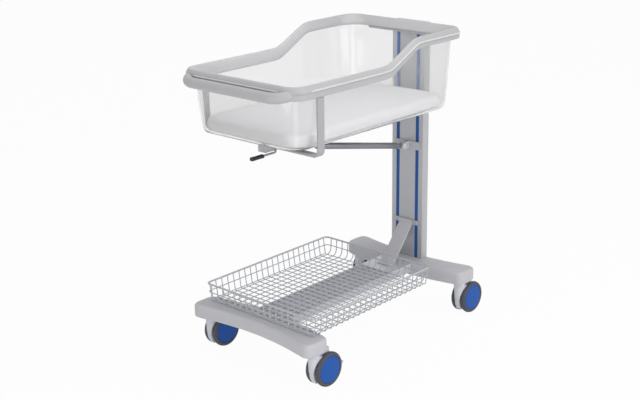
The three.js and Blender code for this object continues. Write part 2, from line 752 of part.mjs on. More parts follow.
// Release block: two cheeks joined by a roof under the strap, open above the rod's eye
function releaseBlock() {
  const inX = BLOCK_GAP / 2;
  const bottom = blockTop - BLOCK_H;
  const roof = blockTop - BLOCK_ROOF;
  const outline = polygon([
    [-cheekX, bottom], [-inX, bottom], [-inX, roof], [inX, roof], [inX, bottom], [cheekX, bottom],
    [cheekX, blockTop], [-cheekX, blockTop],
  ]);
  const pinBore = pinX(LEVER_PIN_D / 2 + FIT, inX - 1, cheekX + 1, leverPivot.y, leverPivot.z);
  const openTop = block(-inX, inX, BLOCK_FOOT_Y + ROOF_L, BLOCK_HEAD_Y + 1, bottom, blockTop + 1);
  return cut(alongY(outline, BLOCK_FOOT_Y, BLOCK_HEAD_Y), pinBore, openTop);
}

function leverPin() {
  const seat = leverX + LEVER_HUB_W / 2 + RUN;
  const r = LEVER_PIN_D / 2;
  const headR = LEVER_PIN_HEAD_D / 2;
  const end = seat + LEVER_PIN_HEAD_T;
  const from = BLOCK_GAP / 2;
  const profile = [[0, from], [r, from], [r, seat], [headR, seat], [headR, end], [0, end]];
  return turned(profile, SMALL_ROUND).applyMatrix4(axisX).translate(0, leverPivot.y, leverPivot.z);
}

// Release lever: a bent rod on a hub beside the block, with a rubber grip pushed on to its end
const gripRootY = leverPivot.y - LEVER_REACH;
const gripZ = leverPivot.z - LEVER_DROP;

function leverRod() {
  const at = (y, z) => new THREE.Vector3(leverX, y, z);
  const route = new THREE.CatmullRomCurve3([
    at(leverPivot.y, leverPivot.z - LEVER_HUB_R + 1),
    at(leverPivot.y - LEVER_BEND_IN, gripZ + LEVER_BEND_RISE),
    at(leverPivot.y - LEVER_BEND_L, gripZ),
    at(gripRootY + GRIP_LAP, gripZ),
    at(gripRootY - GRIP_LAP, gripZ),
  ], false, 'centripetal');
  const half = LEVER_HUB_W / 2;
  const hubBody = pinX(LEVER_HUB_R, leverX - half, leverX + half, leverPivot.y, leverPivot.z);
  const boreR = LEVER_PIN_D / 2 + RUN;
  const bore = pinX(boreR, leverX - LEVER_HUB_W, leverX + LEVER_HUB_W, leverPivot.y, leverPivot.z);
  return cut(joined(hubBody, tube(route, LEVER_ROD_D / 2, 8, 12)), bore);
}

function leverGrip() {
  const rows = [[0, 0.82], [0.08, 1], [0.5, 0.92], [0.9, 1], [1, 0.7]];
  const sides = 14;
  const ring = (share, scale) => Array.from({ length: sides }, (_, i) => {
    const angle = (i * Math.PI * 2) / sides;
    return [(Math.cos(angle) * scale * GRIP_W) / 2, (Math.sin(angle) * scale * GRIP_T) / 2, share * GRIP_L];
  });
  const grip = skin(rows.map(([share, scale]) => ring(share, scale)));
  grip.rotateX(Math.PI / 2).translate(leverX, gripRootY, gripZ);
  const boreR = LEVER_ROD_D / 2 + FIT;
  const bore = turned([[0, -GRIP_LAP - FIT], [boreR, -GRIP_LAP - FIT], [boreR, 1], [0, 1]], 10);
  return cut(grip, bore.translate(leverX, gripRootY, gripZ));
}

// Castor, in its own frame: origin on the floor under the axle, the stem at -CASTOR_TRAIL
function castorHousing() {
  const turretBottom = wheelR + Math.sqrt(wheelR ** 2 - (CASTOR_TRAIL - TURRET_D / 2) ** 2) + TURRET_GAP;
  const stem = pinZ(STEM_D / 2, turretBottom, legBottom + STEM_RISE, 0, -CASTOR_TRAIL);
  const turret = pinZ(TURRET_D / 2, turretBottom, turretTop, 0, -CASTOR_TRAIL);
  const web = new THREE.Shape();
  const webTop = turretTop - 1;
  const sweep = Math.PI + THREE.MathUtils.degToRad(WEB_SWEEP);
  web.moveTo(AXLE_BOSS_R, webTop);
  web.lineTo(-WEB_R, webTop);
  web.absarc(0, wheelR, WEB_R, Math.PI, sweep);
  web.absarc(0, wheelR, AXLE_BOSS_R, Math.PI * 1.6, Math.PI * 2);
  const axleBore = pinX(AXLE_D / 2 + FIT, -WHEEL_PITCH, WHEEL_PITCH, 0, wheelR);
  return cut(joined(alongX(web, -webHalf, webHalf), turret, stem), axleBore);
}

function axle() {
  const half = WHEEL_PITCH / 2 + WHEEL_W / 4;
  return pinX(AXLE_D / 2, -half, half, 0, wheelR);
}

// Wheel halves turn about X; `side` is +1 for the wheel whose cover faces +X
function tyre(side) {
  const half = WHEEL_W / 2;
  const edge = [
    [hubR, half], [wheelR - SHOULDER, half], [wheelR - 0.4 * SHOULDER, half * 0.6], [wheelR, half * 0.2],
  ];
  const profile = [...edge.map(([r, x]) => [r, -x]), ...edge.toReversed(), [hubR, -half]];
  return turned(profile).applyMatrix4(axisX).translate((side * WHEEL_PITCH) / 2, 0, wheelR);
}

function hub(side) {
  const face = WHEEL_W / 2 - HUB_FACE_SINK;
  const rimR = hubR - FIT;
  const bore = AXLE_D / 2 + RUN;
  const boreEnd = WHEEL_W / 4 + RUN;
  const profile = [[0, boreEnd], [bore, boreEnd], [bore, -face], [rimR, -face], [rimR, face], [0, face]];
  const wheel = turned(profile).applyMatrix4(axisX);
  return (side < 0 ? wheel.rotateZ(Math.PI) : wheel).translate((side * WHEEL_PITCH) / 2, 0, wheelR);
}

function brakePedal() {
  const root = AXLE_BOSS_R + PEDAL_GAP;
  const tabY = PEDAL_REACH - PEDAL_TAB_L;
  const arm = PEDAL_ARM_W / 2;
  const tab = PEDAL_TAB_W / 2;
  const plan = polygon([
    [-arm, root], [arm, root], [arm, tabY], [tab - 3, tabY], [tab, tabY + 3], [tab, PEDAL_REACH - 4],
    [tab - 4, PEDAL_REACH], [4 - tab, PEDAL_REACH], [-tab, PEDAL_REACH - 4], [-tab, tabY + 3],
    [3 - tab, tabY], [-arm, tabY],
  ]);
  return alongZ(plan, wheelR - PEDAL_T / 2, wheelR + PEDAL_T / 2);
}

function castor(label, x, stemY, braked) {
  const group = new THREE.Group();
  group.position.set(x, stemY + CASTOR_TRAIL, 0);
  part.add(group);
  add(`${label}_housing`, castorHousing(), housingPlastic, group);
  add(`${label}_axle`, axle(), steel, group);
  for (const [word, side] of [['left', -1], ['right', 1]]) {
    add(`${label}_${word}_tyre`, tyre(side), tyreRubber, group);
    add(`${label}_${word}_hub`, hub(side), bluePlastic, group);
  }
  if (braked) {
    add(`${label}_brake_pedal`, brakePedal(), housingPlastic, group);
  }
}

// Assembly
add('front_leg', leg(FRONT_LEG_Y, LEG_BOW, FRONT_STEM_Y), castPaint);
add('rear_leg', leg(REAR_LEG_Y, -LEG_BOW, rearStemY), castPaint);
add('spine', spine(), anodised);
add('column', column(), anodised);
add('column_cap', columnCap(), rimPlastic);
add('strip_left', strip(-slotX), bluePlastic);
add('strip_right', strip(slotX), bluePlastic);
add('gusset_strut', strut(), castPaint);
add('gusset_clamp', clampBar(), steel);
basket();

castor('front_left_castor', -castorX, FRONT_STEM_Y, true);
castor('front_right_castor', castorX, FRONT_STEM_Y, true);
castor('rear_left_castor', -castorX, rearStemY, false);
castor('rear_right_castor', castorX, rearStemY, false);

add('rim', rim(), rimPlastic);
add('tub', tub(), clearPlastic);
add('mattress', mattress(), foamCover);
add('push_handle', pushHandle(), rimPlastic);
add('foot_strap', footStrap(), castPaint);
add('hinge_bracket', hingeBracket(), castPaint);
add('hinge_bolt_left', hingeBolt(-1), steel);
add('hinge_bolt_right', hingeBolt(1), steel);

add('spring_bracket', springBracket(), castPaint);
add('spring_pin', springPin(), steel);
const spring = new THREE.Group();
spring.position.copy(springFrom);
spring.rotation.x = Math.atan2(rodEye.z - springFrom.z, rodEye.y - springFrom.y);
part.add(spring);
add('spring_cylinder', springCylinder(), springPaint, spring);
add('spring_rod', springRod(), steel, spring);

add('release_block', releaseBlock(), castPaint);
add('lever_pin', leverPin(), steel);
add('lever_rod', leverRod(), steel);
add('lever_grip', leverGrip(), gripRubber);

export default part;
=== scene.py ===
import json
import math

import bmesh
import bpy
import numpy as np
from mathutils import Matrix, Vector


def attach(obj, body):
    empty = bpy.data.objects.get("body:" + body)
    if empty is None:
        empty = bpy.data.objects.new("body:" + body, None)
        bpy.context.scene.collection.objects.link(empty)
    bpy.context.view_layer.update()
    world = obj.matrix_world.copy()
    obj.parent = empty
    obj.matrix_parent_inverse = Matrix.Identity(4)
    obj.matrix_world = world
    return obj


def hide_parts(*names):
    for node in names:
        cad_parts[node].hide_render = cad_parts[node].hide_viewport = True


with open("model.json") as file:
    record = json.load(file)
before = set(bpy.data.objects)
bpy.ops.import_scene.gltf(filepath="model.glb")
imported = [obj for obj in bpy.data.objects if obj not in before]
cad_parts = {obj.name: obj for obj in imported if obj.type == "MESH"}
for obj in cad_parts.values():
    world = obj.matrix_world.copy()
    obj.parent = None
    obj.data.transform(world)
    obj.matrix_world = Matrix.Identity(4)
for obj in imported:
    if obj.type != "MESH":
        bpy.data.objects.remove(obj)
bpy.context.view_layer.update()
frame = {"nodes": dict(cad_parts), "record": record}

# Lengths are in millimetres. Stations along Y count from the middle of the wheelbase.
# A tuple of pairs is a profile, of an edge or about an axis: how far in or out, and how far along.
MM = 0.001
ORIGIN_Y = -36.25
FIT = 0.3

# Shells of one piece overlap by the lap, or one stands proud of the other
LAP = 1
PROUD = 0.2

# Camera, in metres and degrees
CAMERA_AT = (2.17329, -2.45826, 1.48421)
CAMERA_AZIMUTH = 42.35
CAMERA_ELEVATION = 18.01
CAMERA_ROLL = -0.77
CAMERA_LENS = 66.354
CAMERA_SENSOR = 36

# Lamps, in metres and watts: name, place, aim, size and power
LAMPS = (
    ("key", (3.4, 0.2, 1.9), (0, 0, 0.5), 3.0, 58),
    ("top", (0.2, 0.0, 3.4), (0, 0, 0.5), 1.8, 15),
    ("over_tub", (0.0, -0.45, 1.3), (0, 0.55, 1.3), 0.4, 2.7),
    ("front", (0.5, -1.9, 0.5), (0, -0.4, 0.4), 1.2, 7.5),
)
SKY_LIGHT = 0.42
FLOOR_HALF = 20
FLOOR_TONE = (0.9, 0.9, 0.9, 1)
FLOOR_GLOW = 0.96
WHITE = (1, 1, 1, 1)

# Castors
WHEEL_R = 50
WHEEL_W = 17
WHEEL_PITCH = 34
SHOULDER = 6.5
TYRE_WALL = ((2.1, 0), (1, 0.6), (0, 1.6))
HUB_R = 39.4
HUB_IN = 0.8
HUB_CHAMFER = 1
HUB_SEAT = 1.2
HUB_LIP = 0.5
HUB_FACE = ((38.4, -0.4), (37.8, 0), (30.4, 0.18), (19.2, 0.48), (0, 0.6))
WEB_HALF = 7.7
WEB_R = 51
WEB_SWEEP = 42
WEB_TOP_R = 8
COWL_LIP = 1.5
COWL_SIDE = 0.5
AXLE_BOSS_R = 14
AXLE_BOSS_FROM = 288
TURRET_R = 17.5
TURRET_FLARE = ((0, 3), (0.6, 1.5), (2, 0))
TURRET_GAP = 1
TURRET_EDGE = 0.8
CASTOR_X = 202.5
CASTOR_TRAIL = 40
FRONT_STEM_Y = -366
WHEELBASE = 670
PEDAL_T = 6
PEDAL_ARM_W = 9
PEDAL_TAB_W = 36
PEDAL_TAB_L = 10
PEDAL_TAB_R = 4
PEDAL_ROOT = 14.9
PEDAL_REACH = 63

# Legs
LEG_TOP = 150.5
LEG_H = 40
LEG_HALF_L = 231
LEG_DEPTH = 86
LEG_BOW = 25
LEG_END_R = 26
LEG_EDGE_R = 9
LEG_FOOT_R = 5
LEG_SMOOTHING = 3
FRONT_LEG_Y = -373.5
REAR_LEG_Y = 310

# Heights over a castor's axle
CASTOR_TOP = LEG_TOP - LEG_H - FIT - WHEEL_R
TURRET_LOW = math.sqrt(WHEEL_R ** 2 - (CASTOR_TRAIL - TURRET_R) ** 2) + TURRET_GAP

# Extruded profile of the spine and the column
PROFILE_W = 122
PROFILE_T = 28
PROFILE_R = 3
PROFILE_STEPS = 4
SLOT_X = 37
SLOT_W = 12
SLOT_DEPTH = 5
SLOT_LIP = 0.8
SPINE_FOOT_Y = -305.2
SPINE_HEAD_Y = 241.7
COLUMN_FRONT_Y = 295
COLUMN_TOP = 893
CAP_T = 5.5
CAP_FOOT_EDGE = 0.4
CAP_TOP_EDGE = ((0, 1.8), (0.4, 0.7), (1.2, 0.1), (2.6, 0))

# Strut from the spine to the column, and its clamp bar
STRUT_W = 50
STRUT_T = 4
STRUT_FOOT_Y = 178
STRUT_FOOT_L = 22
STRUT_TOP_Z = 274.5
STRUT_FLANGE_H = 15
STRUT_BEND_R = 7
STRUT_EDGE_R = 1
CLAMP_W = 96
CLAMP_T = 3
CLAMP_R = 2
SCREW_X = 40
SCREW_PROFILE = ((0, -1), (4.5, -1), (4.5, 1.2), (3.6, 2.2), (2, 2.5), (1.6, 2.3), (1.6, 1.2), (0, 1.2))

# Wire basket
BASKET_HALF_W = 210
BASKET_FOOT_Y = -377
BASKET_HEAD_Y = 147
BASKET_TOP = 208.5
BASKET_PITCH = 23.5
BASKET_SIDE_BEND_R = 6
BASKET_END_BEND_R = 18
BASKET_CORNER_R = 14
BASKET_FLARE = 8
BASKET_END_FLARE = 4
WIRE_D = 3
FRAME_WIRE_D = 5.5
BASKET_MID = 180.5

# Rim
RIM_HALF_W = 208
RIM_FOOT_Y = -423
RIM_HEAD_Y = 276
RIM_CORNER_R = 40
RIM_LOW_Z = 845.5
RIM_HIGH_Z = 905.5
RIM_OUT = 10
STEP_FOOT_Y = -55
STEP_HEAD_Y = 61
STEP_SOFT = 14
BEAD_DROP = 15
SKIRT_LOW = 20
SKIRT_HIGH = 15
BEAD_FADE = 26

# Tub and mattress
TUB_EDGE_DROP = 22.3
TUB_GROOVE_DROP = 35.3
TUB_WALL = 4
TUB_CORNER_R = 80
TUB_TAPER = 13
TUB_FLOOR_Z = 669.5
TUB_FLOOR_R = 22
TUB_LIP = 2
TUB_ROWS = 9
# The painted highlight down each tub corner: its width, and how far it whitens the tint
CORNER_HIGHLIGHT_W = 16
CORNER_HIGHLIGHT_SHARE = 0.7
PAD_INSET = 20
PAD_CORNER_R = 58
PAD_LOW = 673.8
PAD_T = 37
PAD_EDGE_R = 13
PAD_SHRINK = 2.5
PAD_VOXEL = 5
PAD_PRESSURE = 4
PAD_CAP = 3.5
PAD_FRAMES = 20

# Push handle and foot strap
HANDLE_D = 29
HANDLE_OUT = 29
HANDLE_DROP = 28
HANDLE_SETBACK = 30
HANDLE_BEND_R = 48
HANDLE_RISE = 9
HANDLE_WEB_T = 3
HANDLE_WEB_UP = 3
HANDLE_WEB_LAP = 0.5
HANDLE_ROWS = 13
STRAP_Y = -340
STRAP_W = 25
STRAP_T = 6.5
STRAP_BEND_R = 20
STRAP_EDGE_R = 1.6
STRAP_TOP = 657.5

# Tilt hinge
HINGE_Y = 309
HINGE_Z = 878.5
BRACKET_W = 298
BRACKET_T = 4
BRACKET_DROP = 14
BRACKET_RISE = 8
EAR_T = 5
EAR_GAP = 0.5
EAR_REACH = 13
BOLT_HEAD_T = 5
BOLT_HEX_R = 7.38
BOLT_SHANK = ((0, -14), (5, -14), (5, 0.5), (0, 0.5))
WASHER = ((0, 0), (9, 0), (9, 1.2), (8.6, 1.6), (0, 1.6))

# Gas spring and its bracket
SPRING_FROM = (0, 268, 517)
SPRING_TO = (0, -310, 639)
SPRING_D = 19
SPRING_NECK_L = 28
SPRING_TUBE_L = 372
SPRING_NECK_R = 5.6
SPRING_NECK_FLARE = 3
SPRING_SHOULDER = ((3, -1), (0.8, 0.6), (0, 3))
SPRING_CRIMP = ((0, 14), (1, 12.5), (1, 10.5), (0, 9), (0, 3), (0.8, 0.8), (3, 0))
EYE_R = 8
EYE_W = 12
EYE_EDGE = 0.8
ROD_D = 8
ROD_IN = 110
ROD_BORE_D = 8.6
ROD_BORE_L = 175
PLATE_W = 96
PLATE_H = 25
PLATE_R = 3
CLEVIS_R = 12
PLATE_T = 4
CLEVIS_T = 4
CLEVIS_GAP = 1
SPRING_PIN_D = 8
PIN_HEAD = ((10.4, 0), (11, 0.6), (11, 3), (10.2, 4.3), (8.6, 5))
PIN_SOCKET = ((4, 5), (3.6, 4.6), (3.6, 2.6), (0, 2.6))

# Release block and lever
BLOCK_TOP = 650.7
BLOCK_H = 23
BLOCK_FOOT_Y = -338
BLOCK_HEAD_Y = -294
BLOCK_GAP = 16
BLOCK_CHEEK = 6
BLOCK_ROOF = 5
BLOCK_ROOF_L = 15
BLOCK_FRONT_T = 2
LEVER_AT = (18.5, -302, 639.2)
LEVER_HUB_R = 6
LEVER_HUB_W = 8
LEVER_HUB_EDGE = 0.6
LEVER_ROD_D = 6
LEVER_BEND_R = 5
LEVER_BEND_OUT = 5
LEVER_REACH = 52
LEVER_DROP = 15.5
GRIP_L = 45
GRIP_LAP = 18
GRIP_W = 13
GRIP_T = 10
GRIP_EDGE_R = 3.5
GRIP_END = 0.05
GRIP_DRAW = 0.35
GRIP_WAIST = 0.05
GRIP_ROWS = 9

# Meshes and finishes
MERGE = 1e-6
TINY = 1e-9
BEVEL_STEPS = 3
GRAIN_LOW = 0.3
GRAIN_HIGH = 0.7
GLOSS_SPREAD = 0.06
GRAIN_DETAIL = 2.0
CLOUD_DETAIL = 3.0


# Mesh making

def grid_faces(rows, columns, round_rows=False, round_columns=False):
    """Quads of a grid of points: each joins a point to the next in its row and to those in the row after."""
    row, column = np.meshgrid(
        np.arange(rows if round_rows else rows - 1),
        np.arange(columns if round_columns else columns - 1),
        indexing="ij",
    )
    next_row = (row + 1) % rows * columns
    next_column = (column + 1) % columns
    row = row * columns
    corners = (row + column, row + next_column, next_row + next_column, next_row + column)
    return np.stack(corners, axis=-1).reshape(-1, 4)


def capped(points):
    """A grid whose rows are closed rings, with a flat face on the first and the last ring."""
    rows, columns = points.shape[:2]
    ring = np.arange(columns)[None]
    faces = [grid_faces(rows, columns, round_columns=True), ring, ring + (rows - 1) * columns]
    return points.reshape(-1, 3), faces


def looped(points):
    """A grid whose rows are closed rings and whose last row joins the first."""
    rows, columns = points.shape[:2]
    return points.reshape(-1, 3), [grid_faces(rows, columns, True, True)]


def shifted(shell, offset):
    """The same shell moved by an offset."""
    return shell[0] + np.asarray(offset), shell[1]


def repeated(shell, offsets):
    """Copies of a shell, one moved by each offset, as one shell."""
    points, faces = shell
    offsets = np.asarray(offsets, dtype=float)
    starts = np.arange(len(offsets)) * len(points)
    copies = [(face[None] + starts[:, None, None]).reshape(-1, face.shape[1]) for face in faces]
    return (points[None] + offsets[:, None]).reshape(-1, 3), copies


def spokes(start, end, count):
    """Directions spread evenly from one angle to another, in degrees."""
    angle = np.radians(np.linspace(start, end, count))
    return np.column_stack((np.cos(angle), np.sin(angle)))


def circle(radius, sides):
    """A ring of points at one radius, as a section."""
    return radius * spokes(0, 360, sides + 1)[:-1]


def filleted(corners, radius, steps=6):
    """A polyline whose inner corners are arcs of one radius, each swung evenly from one side to the next."""
    corners = np.asarray(corners, dtype=float)
    pieces = [corners[:1]]
    for before, corner, after in zip(corners, corners[1:], corners[2:]):
        back = (before - corner) / np.linalg.norm(before - corner)
        on = (after - corner) / np.linalg.norm(after - corner)
        half = np.arccos(np.clip(back @ on, -1, 1)) / 2
        middle = (back + on) / np.linalg.norm(back + on)
        centre = corner + middle * radius / np.sin(half)
        start = corner + back * radius / np.tan(half) - centre
        end = corner + on * radius / np.tan(half) - centre
        swing = np.pi - 2 * half
        share = np.linspace(0, 1, steps + 1)[:, None]
        arc = (np.sin((1 - share) * swing) * start + np.sin(share * swing) * end) / np.sin(swing)
        pieces.append(centre + arc)
    pieces.append(corners[-1:])
    return np.concatenate(pieces)


def rounded_rectangle(u0, v0, u1, v1, radius, steps=5):
    """A rectangle's outline, anticlockwise, with a quarter circle at each corner."""
    centres = ((u1 - radius, v1 - radius), (u0 + radius, v1 - radius),
               (u0 + radius, v0 + radius), (u1 - radius, v0 + radius))
    arcs = [centre + radius * spokes(90 * i, 90 * i + 90, steps + 1) for i, centre in enumerate(centres)]
    return np.concatenate(arcs)


def swept(path, section, normal, closed=False):
    """A section carried along a flat path: its first number goes across it, its second up the normal."""
    normal = np.asarray(normal, dtype=float)
    if closed:
        along = np.roll(path, -1, axis=0) - np.roll(path, 1, axis=0)
    else:
        along = np.gradient(path, axis=0)
    along /= np.linalg.norm(along, axis=1, keepdims=True)
    across = np.cross(along, normal)
    points = path[:, None] + across[:, None] * section[None, :, :1] + normal * section[None, :, 1:]
    return looped(points) if closed else capped(points)


def turned(profile, centre, axis, sides=48, ring=False):
    """A profile of (radius, distance along) swung round an axis; a ring profile closes on itself."""
    profile = np.asarray(profile, dtype=float)
    axis = np.asarray(axis, dtype=float) / np.linalg.norm(axis)
    first = np.cross(axis, (0, 0, 1) if abs(axis[2]) < 0.9 else (1, 0, 0))
    first /= np.linalg.norm(first)
    second = np.cross(axis, first)
    spoke = circle(1, sides) @ (first, second)
    points = np.asarray(centre) + profile[:, :1, None] * spoke + profile[:, 1:, None] * axis
    return looped(points) if ring else capped(points)


def slab(outline, axes, low, high):
    """An outline pushed straight through: its two numbers go to the first two axes, the push to the third."""
    order = ["xyz".index(axis) for axis in axes]
    points = np.zeros((2, len(outline), 3))
    points[:, :, order[0]] = outline[:, 0]
    points[:, :, order[1]] = outline[:, 1]
    points[0, :, order[2]] = low
    points[1, :, order[2]] = high
    return capped(points)


def drum(radius, width, edge, centre, sides):
    """A short round bar along X with both edges broken, centred."""
    half = width / 2
    return turned((
        (0, -half), (radius - edge, -half), (radius, edge - half),
        (radius, half - edge), (radius - edge, half), (0, half),
    ), centre, (1, 0, 0), sides)


def box(x0, x1, y0, y1, z0, z1):
    """A block between two corners."""
    return slab(np.array(((x0, y0), (x1, y0), (x1, y1), (x0, y1)), dtype=float), "xyz", z0, z1)


def drawn_in(outline, rows):
    """Each row is the outline drawn in along its own normals by the row's inset, at the row's height."""
    along = np.roll(outline, -1, axis=0) - np.roll(outline, 1, axis=0)
    along /= np.linalg.norm(along, axis=1, keepdims=True)
    inward = np.column_stack((-along[:, 1], along[:, 0]))
    rows = np.asarray(rows, dtype=float)
    plan = outline[None] + inward[None] * rows[:, :1, None]
    height = np.broadcast_to(rows[:, 1:, None], plan.shape[:2] + (1,))
    return capped(np.concatenate((plan, height), axis=2))


def rounded_rows(low, low_r, high, high_r, steps):
    """Rows of inset and height that round a solid's lower and upper edges."""
    quarter = 1 - spokes(0, 90, steps)
    rise = low_r * quarter[:, ::-1] + (0, low)
    fall = high_r * quarter * (1, -1) + (0, high)
    return np.concatenate((rise, fall))


def put(name, shells, finish, body, nodes=(), crease=35, bevel=0):
    """Makes one object of the shells, faces outwards, that rides on a body and stands for CAD nodes."""
    starts = np.cumsum([0] + [len(points) for points, _ in shells])
    faces = []
    for start, (_, blocks) in zip(starts, shells):
        for block in blocks:
            faces.extend((block + start).tolist())
    points = np.concatenate([points for points, _ in shells]) - (0, ORIGIN_Y, 0)
    mesh = bpy.data.meshes.new(name)
    mesh.from_pydata((points * MM).tolist(), [], faces)
    work = bmesh.new()
    work.from_mesh(mesh)
    bmesh.ops.remove_doubles(work, verts=work.verts, dist=MERGE)
    bmesh.ops.recalc_face_normals(work, faces=work.faces)
    work.to_mesh(mesh)
    work.free()
    mesh.shade_smooth()
    mesh.set_sharp_from_angle(angle=math.radians(crease))
    mesh.materials.append(finish)
    made = bpy.data.objects.new(name, mesh)
    bpy.context.scene.collection.objects.link(made)
    if bevel:
        edge = made.modifiers.new("edge", "BEVEL")
        edge.width = bevel * MM
        edge.segments = BEVEL_STEPS
        edge.limit_method = "ANGLE"
        edge.angle_limit = math.radians(crease)
        edge.harden_normals = True
    if nodes:
        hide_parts(*nodes)
    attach(made, body)
    return made


# Materials

def linear(hex_colour):
    """A linear colour from an sRGB hex value."""
    parts = np.array([int(hex_colour[i:i + 2], 16) for i in (1, 3, 5)]) / 255
    flat = np.where(parts <= 0.04045, parts / 12.92, ((parts + 0.055) / 1.055) ** 2.4)
    return (*flat.tolist(), 1.0)


def node(tree, kind, inputs=None, **settings):
    """Adds a node with its settings; an input is a value, or another node's output to link."""
    made = tree.nodes.new(kind)
    for name, value in settings.items():
        setattr(made, name, value)
    for socket, value in (inputs or {}).items():
        if isinstance(value, bpy.types.NodeSocket):
            tree.links.new(value, made.inputs[socket])
        else:
            made.inputs[socket].default_value = value
    return made


def maths(tree, operation, *values):
    """The output of a maths node on values or other nodes' outputs."""
    return node(tree, "ShaderNodeMath", dict(enumerate(values)), operation=operation).outputs[0]


def surface(name, colour, rough, grain, relief, cloud=120, tone=0.05, stretch=(1, 1, 1), **sockets):
    """A finish: its grain, in mm, gives the height and the roughness, its cloud, in mm, moves the tone."""
    made = bpy.data.materials.new(name)
    made.use_nodes = True
    tree = made.node_tree
    shader = tree.nodes["Principled BSDF"]
    where = node(tree, "ShaderNodeTexCoord").outputs["Object"]
    drawn = node(tree, "ShaderNodeMapping", {"Vector": where, "Scale": stretch}).outputs[0]
    fine = node(tree, "ShaderNodeTexNoise", {
        "Vector": drawn, "Scale": 1 / (grain * MM), "Detail": GRAIN_DETAIL,
    })
    broad = node(tree, "ShaderNodeTexNoise", {
        "Vector": drawn, "Scale": 1 / (cloud * MM), "Detail": CLOUD_DETAIL,
    })
    base = np.array(linear(colour)[:3])
    dark = (*(base * (1 - tone)).tolist(), 1.0)
    light = (*(base * (1 + tone)).clip(0, 1).tolist(), 1.0)
    shade = node(tree, "ShaderNodeMix", {0: broad.outputs[0], 6: dark, 7: light}, data_type="RGBA")
    gloss = node(tree, "ShaderNodeMapRange", {
        "Value": fine.outputs[0], "From Min": GRAIN_LOW, "From Max": GRAIN_HIGH,
        "To Min": rough - GLOSS_SPREAD, "To Max": rough + GLOSS_SPREAD,
    })
    height = node(tree, "ShaderNodeBump", {
        "Height": fine.outputs[0], "Strength": 1.0, "Distance": relief * MM,
    })
    tree.links.new(shade.outputs[2], shader.inputs["Base Color"])
    tree.links.new(gloss.outputs[0], shader.inputs["Roughness"])
    tree.links.new(height.outputs[0], shader.inputs["Normal"])
    for socket, value in sockets.items():
        shader.inputs[socket.replace("_", " ")].default_value = value
    return made


def paint_corner_highlights(sheet):
    """Paints a highlight on a clear sheet down the middle of each corner, by mixing its tint towards white
    there.
    """
    tree = sheet.node_tree
    where = node(tree, "ShaderNodeTexCoord").outputs["Object"]
    apart = node(tree, "ShaderNodeSeparateXYZ", {0: where}).outputs
    middle = (RIM_FOOT_Y + RIM_HEAD_Y) / 2 - ORIGIN_Y
    across = maths(tree, "ABSOLUTE", apart["X"])
    along = maths(tree, "ABSOLUTE", maths(tree, "SUBTRACT", apart["Y"], middle * MM))
    longer = ((RIM_HEAD_Y - RIM_FOOT_Y) / 2 - RIM_HALF_W) * MM
    gap = maths(tree, "SUBTRACT", along, across)
    away = maths(tree, "ABSOLUTE", maths(tree, "SUBTRACT", gap, longer))
    outside = maths(tree, "GREATER_THAN", across, (RIM_HALF_W - TUB_CORNER_R) * MM)
    highlight_band = node(tree, "ShaderNodeMapRange", {
        "Value": away, "From Max": CORNER_HIGHLIGHT_W * MM, "To Min": CORNER_HIGHLIGHT_SHARE, "To Max": 0.0,
    }, interpolation_type="SMOOTHSTEP")
    # The painted highlight, only on the corners' curves
    thin = maths(tree, "MULTIPLY", highlight_band.outputs[0], outside)
    tint = tree.nodes["Principled BSDF"].inputs["Base Color"]
    shade = tint.links[0].from_socket
    paler = node(tree, "ShaderNodeMix", {0: thin, 6: shade, 7: WHITE}, data_type="RGBA")
    tree.links.new(paler.outputs[2], tint)


# Moulded polyurethane skin of the rim: soft satin, a fine leathery mould texture, pale grey.
rim_skin = surface("moulded_polyurethane_light_grey", "#BDBDBF", 0.46, 1.6, 0.05, IOR=1.5)
# The rim's edge bead: the same plastic, glossier, and painted paler as a highlight along the bead.
bead_highlight_skin = surface("moulded_polyurethane_bead_painted_highlight", "#DCDCDE", 0.32, 1.6, 0.02, IOR=1.5)
# Powder coat on cast aluminium and steel: an even satin grey with a fine orange peel.
powder_coat = surface("powder_coated_casting_light_grey", "#CACACF", 0.5, 2.2, 0.07, IOR=1.5)
# The same coat in a darker grey, on the strap.
grey_coat = surface("powder_coated_strap_grey", "#B2B2B5", 0.5, 2.2, 0.07, IOR=1.5)
# The same coat on the hinge plate, painted as pale as the rim to lift the shade under the rim.
plate_coat_painted_light = surface("powder_coated_plate_painted_light", "#D6D6D4", 0.5, 2.2, 0.07, IOR=1.5)
# Satin anodised aluminium, drawn along Z: faint draw lines and a soft metallic sheen.
anodised_upright = surface("satin_anodised_extrusion_upright", "#BDBEC2", 0.42, 1.2, 0.015, 40, 0.04,
                           (1, 1, 0.01), Metallic=0.35)
# The same extrusion, drawn along Y, painted lighter to lift the shade that the basket casts on the spine.
anodised_flat_painted_light = surface("satin_anodised_extrusion_flat_painted_light", "#D2D2DA", 0.42, 1.2, 0.015, 40, 0.04,
                        (1, 0.01, 1), Metallic=0.35)
# Extruded blue PVC strip: even colour, soft shine.
blue_strip = surface("extruded_pvc_blue", "#285EA8", 0.4, 3.0, 0.02, 60, 0.06, (1, 1, 0.05),
                     Specular_IOR_Level=0.2)
# Moulded blue polypropylene wheel cover: satin with a fine spark-eroded mould texture.
blue_cover = surface("moulded_polypropylene_blue", "#1F5AB0", 0.42, 1.4, 0.04, 40, 0.05,
                     Specular_IOR_Level=0.2)
# Thermoplastic rubber tread: dark grey, dull, with fine moulding marks.
tread_rubber = surface("thermoplastic_rubber_dark_grey", "#484B55", 0.62, 1.8, 0.08, 30, 0.1, IOR=1.52)
# Moulded nylon castor housing: pale cool grey, satin.
housing_nylon = surface("moulded_nylon_pale_grey", "#DCDDE4", 0.5, 1.6, 0.05, IOR=1.53)
# Zinc-plated steel: bright satin metal with fine turning marks.
plated_steel = surface("zinc_plated_steel_satin", "#A9A9AC", 0.34, 1.0, 0.01, 20, 0.08, Metallic=1.0)
# Bright zinc on the spring's pin: paler and smoother.
bright_zinc = surface("bright_zinc_plated_steel", "#D2D3D9", 0.36, 1.0, 0.01, 20, 0.05, Metallic=0.3)
